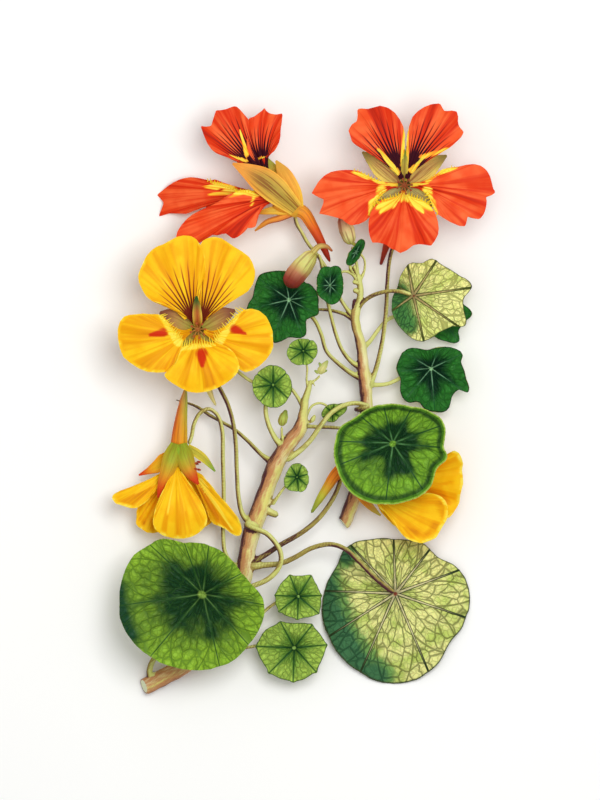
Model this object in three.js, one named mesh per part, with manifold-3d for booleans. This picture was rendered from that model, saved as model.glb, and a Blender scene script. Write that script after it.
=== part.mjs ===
// A flowering nasturtium, cut and lying on a table: a yellow shoot on the left and a red shoot on the right.
// The shoots hold together as climbing nasturtiums do: the stalk of one leaf takes a turn round the
// other stem.
// +X is right, +Y runs from the cut ends to the flowering tips, and +Z is up from the table.
import * as THREE from "three";
import { mergeVertices } from "three/addons/utils/BufferGeometryUtils.js";
import Module from "manifold-3d";

const wasm = await Module();
wasm.setup();

// Driving dimensions, in millimetres.
const BLADE = 0.7; // thickness of a leaf between its veins
const RIB = 0.55; // how far a main vein stands out under a leaf, next to its stalk
const RIB_TAPER = 0.65; // how much of that is gone at the margin
const RIB_WIDTH = 0.9; // half width of that rib
const PETAL = 0.7; // thickness of petals and sepals
const CLAW = 0.8; // half width of a petal where it leaves the cup
const STEM_SIDES = 8;
const STALK_SIDES = 5;
const STEM_STEP = 5.2; // length of one straight piece of a stem
const STALK_STEP = 5.7; // length of one straight piece of a bending stalk
const TIGHT_STEP = 3; // the same in a tight loop
const TURN_RADIUS = 3.6; // of the stalk that winds round the red stem, to the middle of the stalk
const TURN_RISE = 4.3; // how far that stalk gets along the stem in one turn
const TURN_STEPS = 10; // points of its route in that turn
const STAMENS = 8;
const TABLE = 400; // side of the block that trims what reaches below the table

// ---------------------------------------------------------------- finishes

const finish = (color, roughness) => new THREE.MeshStandardMaterial({ color, roughness, metalness: 0 });
const STEM = finish(0xa8a24e, 0.55);
const LEAF = finish(0x5f9a1e, 0.5);
const DARK_LEAF = finish(0x1f5f22, 0.5);
const PALE_LEAF = finish(0xd2d270, 0.6);
const YELLOW = finish(0xffc010, 0.6);
const RED = finish(0xf0481e, 0.6);
const CALYX = finish(0xc8962c, 0.6);
const STAMEN = finish(0xb5652a, 0.6);
const BUD = finish(0xc9cc78, 0.6);

// ---------------------------------------------------------------- shapes

// A value along a list of evenly spaced ones, eased between neighbours.
function along(list, t) {
  const place = THREE.MathUtils.clamp(t, 0, 1) * (list.length - 1);
  const first = Math.min(Math.floor(place), list.length - 2);
  return THREE.MathUtils.lerp(list[first], list[first + 1], place - first);
}

function routeCurve(points) {
  const centres = points.map(([x, y, z]) => new THREE.Vector3(x, y, z));
  return new THREE.CatmullRomCurve3(centres, false, "centripetal");
}

// Welds an open or closed geometry by place alone, and drops triangles that have shrunk to a line.
function welded(geometry) {
  geometry.deleteAttribute("normal");
  geometry.deleteAttribute("uv");
  const merged = mergeVertices(geometry, 1e-4);
  const kept = [];
  const index = merged.index.array;
  for (let i = 0; i < index.length; i += 3) {
    const [a, b, c] = index.slice(i, i + 3);
    if (a !== b && b !== c && c !== a) kept.push(a, b, c);
  }
  merged.setIndex(kept);
  return merged;
}

function solidOf(geometry) {
  const mesh = new wasm.Mesh({
    numProp: 3,
    vertProperties: new Float32Array(geometry.attributes.position.array),
    triVerts: new Uint32Array(geometry.index.array),
  });
  return new wasm.Manifold(mesh);
}

function geometryOf(solid) {
  const mesh = solid.getMesh();
  const geometry = new THREE.BufferGeometry();
  geometry.setAttribute("position", new THREE.BufferAttribute(mesh.vertProperties, 3));
  geometry.setIndex(new THREE.BufferAttribute(mesh.triVerts, 1));
  geometry.computeVertexNormals();
  return geometry;
}

const joined = (solids) => solids.reduce((whole, one) => whole.add(one));

// A round stem along a route of [x, y, z, radius]: a cylinder whose rings are moved onto the route.
function stem(route, sides = STALK_SIDES, step = STALK_STEP) {
  const curve = routeCurve(route);
  const radii = route.map((point) => point[3]);
  const rings = Math.max(2, Math.round(curve.getLength() / step));
  const centres = [];
  const sideways = [];
  let across = new THREE.Vector3(0, 0, 1);
  for (let i = 0; i <= rings; i++) {
    const u = curve.getUtoTmapping(i / rings);
    const heading = curve.getTangent(u);
    if (i === 0 && Math.abs(heading.z) > 0.9) across = new THREE.Vector3(1, 0, 0);
    across = across.clone().addScaledVector(heading, -across.dot(heading)).normalize();
    centres.push(curve.getPoint(u));
    sideways.push([across, new THREE.Vector3().crossVectors(heading, across), along(radii, u)]);
  }
  const geometry = new THREE.CylinderGeometry(1, 1, rings, sides, rings);
  const position = geometry.attributes.position;
  for (let i = 0; i < position.count; i++) {
    const ring = Math.round(position.getY(i) + rings / 2);
    const [a, b, radius] = sideways[ring];
    const spot = centres[ring].clone();
    spot.addScaledVector(a, position.getZ(i) * radius).addScaledVector(b, position.getX(i) * radius);
    position.setXYZ(i, spot.x, spot.y, spot.z);
  }
  return solidOf(welded(geometry));
}

// A thin closed body from an open surface. Both faces are split into the same triangles,
// so a waved blade keeps its thickness everywhere. over and under give the two offsets.
function sheet(surface, place, over, under) {
  const flat = surface.attributes.position;
  const offsets = [];
  for (let i = 0; i < flat.count; i++) {
    const x = flat.getX(i);
    const y = flat.getY(i);
    offsets.push([over(x, y), under(x, y)]);
    const spot = place(x, y);
    flat.setXYZ(i, spot.x, spot.y, spot.z);
  }
  surface.computeVertexNormals();
  const normal = surface.attributes.normal;
  const count = flat.count;
  const corners = new Float32Array(count * 6);
  for (let i = 0; i < count; i++) {
    const spot = new THREE.Vector3().fromBufferAttribute(flat, i);
    const out = new THREE.Vector3().fromBufferAttribute(normal, i);
    spot.clone().addScaledVector(out, offsets[i][0]).toArray(corners, i * 3);
    spot.clone().addScaledVector(out, -offsets[i][1]).toArray(corners, (count + i) * 3);
  }
  const faces = [];
  const edges = new Map();
  const index = surface.index.array;
  for (let i = 0; i < index.length; i += 3) {
    const [a, b, c] = index.slice(i, i + 3);
    faces.push(a, b, c, count + a, count + c, count + b);
    for (const [from, to] of [[a, b], [b, c], [c, a]]) {
      if (!edges.delete(`${to},${from}`)) edges.set(`${from},${to}`, [from, to]);
    }
  }
  for (const [from, to] of edges.values()) {
    faces.push(from, count + from, count + to, from, count + to, to);
  }
  const closed = new THREE.BufferGeometry();
  closed.setAttribute("position", new THREE.BufferAttribute(corners, 3));
  closed.setIndex(faces);
  return solidOf(closed);
}

// A petal or sepal. line is its middle line from claw to tip as [x, y, z]; left and right are the half
// widths seen from above, at even steps from claw to tip; tip is how much of its length the end margin
// draws back, from its left corner to its right one. cup lifts both edges, lean tips the petal sideways
// and wave ruffles its edges.
function petal({
  line, left, right, tip = [0.1, 0, 0.1], cup = 0, lean = 0, wave = 0, waves = 3, cells = [5, 5],
}) {
  const curve = routeCurve(line);
  const place = (u, y) => {
    const v = (y + 0.5) * (1 - along(tip, (u + 1) / 2));
    const t = curve.getUtoTmapping(v);
    const heading = curve.getTangent(t).setZ(0).normalize();
    const half = u < 0 ? along(left, v) : along(right, v);
    const spot = curve.getPoint(t);
    spot.x += heading.y * u * half;
    spot.y -= heading.x * u * half;
    const ruffle = wave * u * u * v * Math.sin(waves * Math.PI * v + u);
    spot.z += cup * u * u * half + lean * u * half + ruffle;
    return spot;
  };
  const half = () => PETAL / 2;
  return sheet(welded(new THREE.PlaneGeometry(2, 1, cells[0], cells[1])), place, half, half);
}

// The radius of a leaf's margin in one direction, eased between the listed [degrees, millimetres].
function marginRadius(rim, degrees) {
  const turned = THREE.MathUtils.euclideanModulo(degrees - rim[0][0], 360);
  let i = 0;
  while (i + 1 < rim.length && rim[i + 1][0] - rim[0][0] <= turned) i++;
  const start = rim[i][0] - rim[0][0];
  const stop = i + 1 < rim.length ? rim[i + 1][0] - rim[0][0] : 360;
  const next = rim[(i + 1) % rim.length];
  return THREE.MathUtils.lerp(rim[i][1], next[1], (turned - start) / (stop - start));
}

// A round leaf with its stalk in the middle. rim is its margin and veins are the directions of its main
// veins. rise lifts the blade towards its margin, curl lifts the last of it, dip sinks the middle,
// pucker swells the blade between the veins, slope tips it, and wave bends its margin up and down.
// A blade seen from behind has its ribs on top.
function leaf({
  hub, rim, veins, rise = 0, curl = 0, dip = 0, pucker = 0.4, slope = [0, 0],
  wave = 0, waves = 3, turn = 0, fold = 0, foldLine = 0, behind = false, rings = 3, columns = 4,
}) {
  const sectors = veins.length * columns;
  const surface = welded(new THREE.RingGeometry(0, 1, sectors, rings));
  const detail = (x, y) => {
    const around = THREE.MathUtils.euclideanModulo(Math.atan2(y, x) / (2 * Math.PI), 1);
    const column = Math.round(around * sectors) % sectors;
    const vein = Math.floor(column / columns);
    const step = column % columns;
    const from = veins[vein];
    const gap = THREE.MathUtils.euclideanModulo(veins[(vein + 1) % veins.length] - from, 360);
    const rho = Math.hypot(x, y);
    let degrees = from + (gap * step) / columns;
    if (columns === 4 && step !== 0 && step !== 2 && rho > 0) {
      const beside = THREE.MathUtils.radToDeg(RIB_WIDTH / (rho * marginRadius(rim, from)));
      degrees = step === 1 ? from + Math.min(beside, gap / 3) : from + gap - Math.min(beside, gap / 3);
    }
    const between = Math.sin((Math.PI * (degrees - from)) / gap);
    return { rho, degrees, between, onVein: step === 0 };
  };
  const place = (x, y) => {
    const { rho, degrees, between } = detail(x, y);
    const angle = THREE.MathUtils.degToRad(degrees);
    const reach = rho * marginRadius(rim, degrees);
    const dx = reach * Math.cos(angle);
    const dy = reach * Math.sin(angle);
    const swell = pucker * between * between * rho * (1.6 - rho);
    const funnel = dip * (1 - Math.exp(-9 * rho * rho));
    const edge = wave * rho ** 3 * Math.cos(THREE.MathUtils.degToRad(waves * degrees + turn));
    const line = THREE.MathUtils.degToRad(foldLine);
    const crease = fold * Math.abs(dy * Math.cos(line) - dx * Math.sin(line));
    const lift = rise * rho * rho + curl * rho ** 6 + funnel + edge + crease;
    const bulge = behind ? -swell : swell;
    return new THREE.Vector3(
      hub[0] + dx,
      hub[1] + dy,
      hub[2] + lift + bulge + slope[0] * dx + slope[1] * dy,
    );
  };
  const plain = () => BLADE / 2;
  const ribbed = (x, y) => {
    const { rho, onVein } = detail(x, y);
    return BLADE / 2 + (onVein ? RIB * (1 - RIB_TAPER * rho) : 0);
  };
  return behind ? sheet(surface, place, ribbed, plain) : sheet(surface, place, plain, ribbed);
}

// Everything below the table's surface is cut away, so that what rests on it has a flat spot.
function standing(solid) {
  const slab = new THREE.BoxGeometry(TABLE, TABLE, TABLE).translate(0, 0, -TABLE / 2);
  return solid.subtract(solidOf(welded(slab)));
}

const plant = new THREE.Group();

function piece(name, solid, material) {
  const mesh = new THREE.Mesh(geometryOf(standing(solid)), material);
  mesh.name = name;
  plant.add(mesh);
}

// ---------------------------------------------------------------- yellow shoot: stem and stalks

// Routes are [x, y, z, radius], from where each stalk grows to what it carries.
const yellowStem = [
  [-57, -101, 2.5, 2.9], [-50, -97.2, 2.5, 3], [-42, -92.8, 3.1, 3.1], [-31, -82, 4.8, 3.2],
  [-24.3, -71, 6.4, 3.2], [-20.9, -60.5, 7.6, 3.3], [-19.4, -51.5, 8.6, 2.9], [-17.6, -44.5, 9.3, 3.1],
  [-14.8, -37, 10, 3.2], [-12.6, -30, 10.7, 2.8], [-10.6, -24.5, 11.3, 3.1], [-7.6, -18.5, 12, 2.8],
  [-4.4, -14, 12.7, 2.7], [-1.3, -10, 13.4, 2.5], [-0.1, -5, 14.2, 1.7], [0.6, 0, 15, 1.35],
  [1.9, 4.5, 15.8, 1.05], [2.6, 7.4, 16.4, 0.7],
];
const yellowStalks = {
  sideShoot: [
    [-53.5, -98.3, 3.2, 1.3], [-53.8, -94, 3.8, 1.1], [-51.5, -89.5, 4.8, 1], [-44, -86.3, 7, 0.9],
    [-36.5, -84.5, 9.4, 0.85], [-29.5, -82.8, 9.4, 0.8], [-22, -80.5, 9, 0.65], [-16.4, -77.2, 8.8, 0.6],
    [-13.2, -73.4, 8.4, 0.6], [-8, -70, 7.9, 0.6], [-2, -68.6, 8.1, 0.6],
  ],
  lowerLeaf: [
    [-30.5, -83.1, 9.4, 0.7], [-26, -86.4, 8.4, 0.65], [-20.5, -86.5, 7.3, 0.6], [-15, -85.7, 6.5, 0.6],
    [-9, -86.2, 5.5, 0.6], [-3.4, -86.5, 5.8, 0.6],
  ],
  backLeaf: [
    [-20.6, -58.4, 7.8, 1.7], [-14.5, -57.7, 8.3, 1.15], [-8, -57, 8.6, 1], [-3, -54.9, 9.1, 0.95],
    [3, -51.6, 10, 0.9], [9.5, -50.3, 10.8, 0.9], [14.5, -51.9, 11.4, 0.9], [19.5, -56.4, 11.6, 0.85],
    [25, -62, 11.7, 0.85], [29.3, -65.6, 11.5, 0.9], [31.4, -67, 10.8, 0.95],
  ],
  sideFlower: [
    [-18.6, -56.6, 8, 1.2], [-14, -54.4, 8.4, 1], [-8.5, -50.8, 9, 0.95], [0, -45.8, 9.8, 0.9],
    [6, -40.5, 10, 0.9], [10.6, -33.8, 9.8, 0.85], [12.6, -29, 9.8, 0.85], [13.3, -25.2, 10.2, 0.9],
  ],
  hangingFlower: [
    [-21.2, -59.4, 7.4, 1.4], [-25, -57, 7.2, 0.9], [-27.4, -53.3, 7, 0.8], [-28.1, -47, 7, 0.8],
    [-27.9, -34, 7, 0.8], [-28.2, -20, 7.5, 0.8], [-28.5, -10, 8.1, 0.8], [-30.2, -5, 8.4, 0.75],
    [-33.2, -2.9, 8.7, 0.75], [-36.4, -4.6, 8.8, 0.75], [-38.4, -8.5, 8.9, 0.75], [-39.1, -12.3, 9, 0.75],
  ],
  frontFlower: [
    [-18.4, -43.4, 9.2, 1.3], [-21.3, -39.8, 9.3, 0.95], [-22.7, -34, 9.3, 0.85], [-23.3, -25, 9.3, 0.8],
    [-23.7, -15, 9.2, 0.8], [-24.6, -8, 9, 0.8], [-26.6, -1, 8.6, 0.8], [-29.6, 5, 8, 0.8],
    [-32.6, 12, 7.6, 0.8], [-35.4, 19, 8.2, 0.85], [-36.7, 23.2, 9.9, 0.9],
  ],
  loop: [
    [-20.1, -43.4, 9.8, 1.1], [-19.4, -43.9, 12.2, 1], [-16.8, -44.9, 13.4, 1], [-13, -46.5, 13.7, 0.95],
    [-10.2, -49.3, 13.8, 0.95], [-8.3, -52.4, 13.8, 0.95], [-7.8, -55.6, 13.7, 0.95],
    [-8.9, -58.9, 13.4, 0.95], [-12, -62.2, 13.1, 0.95], [-17, -64.6, 13, 0.95], [-24, -66.4, 13.3, 0.95], [-30.5, -67.3, 14.1, 1],
    [-34.8, -67.7, 15.3, 1],
  ],
  bareStalk: [
    [-10.6, -21.9, 11.2, 1.5], [-14.6, -19, 9.9, 0.85], [-19.6, -14, 8, 0.75], [-24, -10.2, 6.6, 0.7],
    [-28, -7.8, 6, 0.65], [-33, -5, 5.9, 0.65], [-36.5, -2.6, 5.9, 0.6], [-39.8, -1.1, 6, 0.5],
    [-44.6, 0.2, 6, 0.25],
  ],
  besideLeafJ: [
    [-7.2, -16.5, 12.2, 1.4], [-9.8, -13.3, 12.5, 1], [-12.2, -8.4, 13, 0.9], [-13.2, -3.6, 13.6, 0.85],
    [-12.6, 1.2, 14.4, 0.8], [-10.9, 4.7, 15.1, 0.8],
  ],
  smallBud: [[-7.2, -14.4, 12.4, 0.7], [-7.6, -11.8, 13.6, 0.5], [-7.6, -9.4, 14, 0.5]],
  twiningLeaf: [
    [-6.4, -21, 12, 1.3], [-2.6, -18.6, 12.8, 1.05], [2.2, -14.2, 13.1, 0.95], [6.4, -8.2, 13.3, 0.9],
    [10.2, -3.9, 13.1, 0.9], [14.6, -1.5, 12.5, 0.85], [18.6, -0.9, 11.9, 0.85],
  ],
  leafL: [[-11.2, -36.6, 10.8, 1], [-9.1, -33.8, 12.4, 0.6], [-6.6, -30.4, 13.2, 0.5],
    [-2.6, -27.1, 13.6, 0.5]],
  scar: [[-13.5, -38.3, 10.2, 1.6], [-10.8, -39.4, 10.6, 1.35], [-9.2, -39.9, 10.8, 1.2]],
  hiddenBudRight: [
    [-0.6, -8.6, 13.6, 1.1], [3, -9.1, 11.9, 0.75], [8, -9.3, 10.6, 0.7], [12.6, -9.6, 10.2, 0.65],
    [14.6, -9.8, 10.4, 0.65],
  ],
  leafM: [
    [0.4, -6.8, 13.8, 0.8], [1.7, -4, 12.6, 0.5], [3.2, -1.7, 11.4, 0.5], [6.2, -0.9, 10.3, 0.5],
    [9.2, -2.6, 9.3, 0.5],
  ],
  curledBud: [[0.4, -7.6, 14, 0.5], [2.1, -7.7, 14.1, 0.4], [3.2, -6.7, 14.3, 1], [3.9, -5.3, 14.5, 0.5]],
  hiddenBudLeft: [
    [-0.2, -2.2, 14.4, 0.9], [-2.2, 1.4, 14.1, 0.7], [-4.9, 4.6, 13.6, 0.65], [-11, 6.4, 13, 0.6],
    [-17.6, 6.5, 12.9, 0.65], [-21, 8.6, 13.3, 0.65], [-24, 11.1, 13.8, 0.65],
  ],
  leafK: [[1.7, 3.9, 15.6, 0.65], [1.1, 7, 16.6, 0.45], [1.3, 11, 17.3, 0.45], [0.5, 16.2, 17.9, 0.45]],
  tipBud: [[2.4, 6.4, 16.2, 0.5], [4.4, 7.3, 16.5, 0.45], [5.6, 8.6, 16.7, 0.5]],
  stipule: [[2.3, 5.6, 16.2, 0.5], [3.3, 6.2, 17, 0.4], [3.9, 5.2, 17.3, 0.2]],
};

// The red stem is needed here too, because the twining stalk winds round it.
const redStem = [
  [13.6, -44.6, 2.1, 2.5], [16.2, -38, 2.8, 2.5], [18.4, -31.5, 4, 2.5], [20.6, -20, 5.8, 2.4],
  [22.1, -8, 7.4, 2.3], [22, 0, 8.4, 2.2], [21.7, 5, 9, 2.3], [20.9, 11.5, 9.8, 2.2],
  [20.5, 17, 10.5, 1.8], [19.6, 21.5, 11.1, 1.75], [18.4, 26, 11.7, 1.65], [18.2, 30.5, 12.2, 1.7],
  [19.6, 35, 12.8, 1.15], [20, 39, 13.4, 1.1], [19.3, 42.6, 14, 1.05], [18.9, 44.4, 14.4, 0.7],
];

// One turn of the twining stalk round the red stem, then off to the middle of its leaf.
function twiningRoute(approach, leafHub) {
  const stemCurve = routeCurve(redStem);
  const start = stemCurve.getPoint(4.75 / (redStem.length - 1));
  const end = stemCurve.getPoint(4.1 / (redStem.length - 1));
  const down = end.clone().sub(start).normalize();
  const up = new THREE.Vector3(0, 0, 1).addScaledVector(down, -down.z).normalize();
  const aside = new THREE.Vector3().crossVectors(up, down).normalize();
  const route = [...approach];
  for (let i = 0; i <= TURN_STEPS; i++) {
    const angle = -0.35 + (i / TURN_STEPS) * (2 * Math.PI + 0.5);
    const centre = start.clone().addScaledVector(down, (TURN_RISE * i) / TURN_STEPS);
    centre.addScaledVector(up, TURN_RADIUS * Math.cos(angle));
    centre.addScaledVector(aside, -TURN_RADIUS * Math.sin(angle));
    route.push([centre.x, centre.y, centre.z, 0.85]);
  }
  route.push([27.6, -10.4, 14.5, 0.85], [30.2, -13.7, 18.6, 0.9], leafHub);
  return route;
}

const leafIHub = [31.1, -14.8, 21.5, 1];
yellowStalks.twiningLeaf = twiningRoute(yellowStalks.twiningLeaf, leafIHub);

const yellowParts = [stem(yellowStem, STEM_SIDES, STEM_STEP)];
for (const [name, route] of Object.entries(yellowStalks)) {
  const tight = name === "twiningLeaf" || name === "loop";
  yellowParts.push(stem(route, STALK_SIDES, tight ? TIGHT_STEP : STALK_STEP));
}
piece("yellow_shoot_stem", joined(yellowParts), STEM);

// ---------------------------------------------------------------- red shoot: stem and stalks

const redStalks = {
  frontFlower: [
    [22.4, 3.6, 9, 1.3], [24.7, 9, 9.3, 0.95], [26.4, 15, 9.6, 0.85], [28.1, 24, 9.9, 0.8],
    [29, 33, 10, 0.8], [29.4, 42, 10, 0.75], [30.6, 51.4, 10, 0.75], [34.6, 61.5, 9.6, 0.8],
    [36.9, 68.8, 9.2, 0.85], [36, 73.6, 9.8, 0.9],
  ],
  backLeafD: [
    [18.9, 32, 12.4, 1], [21, 34.6, 13.6, 0.8], [24.5, 36.9, 14.8, 0.8], [29.3, 38.2, 16, 0.75],
    [33.6, 38.2, 17.6, 0.75], [37.4, 37.2, 17.6, 0.8],
  ],
  leafE: [
    [20.4, 18, 10.3, 1.2], [23.4, 20.9, 9.2, 0.8], [26.2, 24.8, 7.6, 0.75], [29.6, 28.4, 6.4, 0.75],
    [34, 30, 4.2, 0.7], [40, 30.4, 2.9, 0.7], [46.2, 29.6, 3.1, 0.7],
  ],
  leafF: [
    [22, 5.8, 8.8, 1.3], [25.4, 5.5, 8, 0.85], [29.6, 5.9, 6.8, 0.75], [33.6, 7.7, 6, 0.75],
    [39, 10, 5.4, 0.75], [44.2, 11.2, 6.2, 0.8],
  ],
  leafA: [
    [20.6, 7.6, 9.2, 1.3], [16.4, 9.8, 9.8, 0.95], [12.2, 13, 10.2, 0.8], [8, 17.4, 10.6, 0.75],
    [6.3, 23, 11, 0.75], [3.6, 28.6, 11.5, 0.75], [-1, 32.6, 11.9, 0.8], [-4.4, 35, 12.5, 0.8],
  ],
  leaningBud: [
    [20.2, 11.4, 9.9, 1.3], [17, 13.4, 10.5, 0.9], [13.6, 17.6, 11.2, 0.75], [11.3, 23.4, 12, 0.75],
    [9.8, 29, 12.8, 0.7], [8.2, 36, 13.8, 0.7], [7, 43, 15.6, 0.7], [6.2, 48.4, 17.6, 0.7],
    [5.4, 50.9, 18.9, 0.7],
  ],
  bareStalk: [
    [17.6, 28.4, 11.8, 1.1], [14.4, 30.2, 11.2, 0.75], [10.4, 31.4, 10.6, 0.65], [5.4, 31.8, 10, 0.55],
    [0, 30.4, 9.8, 0.4], [-4, 28.2, 10, 0.2],
  ],
  hangingFlower: [
    [17.9, 28.8, 12, 1.1], [15, 32.4, 12, 0.75], [12.6, 36.2, 12, 0.7], [10.2, 41.4, 12, 0.7],
    [7.8, 46.6, 12, 0.7], [4.6, 51.2, 11.8, 0.7], [1.6, 55, 11.4, 0.7], [-0.9, 59.4, 11, 0.7],
    [-2.4, 62, 10.9, 0.75],
  ],
  leafB: [[19, 41.8, 13.9, 0.8], [17, 44.3, 14.6, 0.6], [14, 45.2, 15.3, 0.5], [11.4, 43, 16, 0.5],
    [9.6, 40.7, 16.6, 0.55]],
  uprightBud: [[19, 43.4, 14.2, 0.75], [18.8, 46.6, 14.7, 0.6], [18, 50.6, 15.2, 0.6],
    [17.1, 53.6, 15.4, 0.65]],
  leafC: [[19.5, 41.6, 13.8, 0.8], [21.3, 45.4, 14.4, 0.5], [21.3, 49.4, 15.2, 0.45],
    [19.6, 51.6, 16, 0.5]],
  scarUpper: [[19.6, 38, 13.2, 0.9], [18.4, 38.4, 13.4, 1], [17.9, 38.6, 13.5, 0.9]],
  scarTip: [[19.4, 41.2, 13.8, 0.9], [18.2, 41.4, 14, 0.9], [17.7, 41.5, 14.1, 0.7]],
  stub: [[18.4, 29.8, 12.2, 1.2], [17.7, 33.2, 12.6, 0.8], [17.9, 35.3, 12.9, 0.6]],
  tinyBudLeft: [[18.6, 43.6, 14.2, 0.4], [17.2, 45.1, 15.2, 0.4], [16.5, 46.4, 15.5, 0.9],
    [16.3, 47.3, 15.6, 0.3]],
  tinyBudRight: [[18.8, 43.8, 14.3, 0.4], [18.2, 45.4, 15.8, 0.4], [17.9, 46.5, 16.4, 0.8],
    [17.9, 47.3, 16.5, 0.3]],
};

const redParts = [stem(redStem, STEM_SIDES, STEM_STEP)];
for (const route of Object.values(redStalks)) redParts.push(stem(route));
piece("red_shoot_stem", joined(redParts), STEM);

// ---------------------------------------------------------------- leaves

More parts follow.
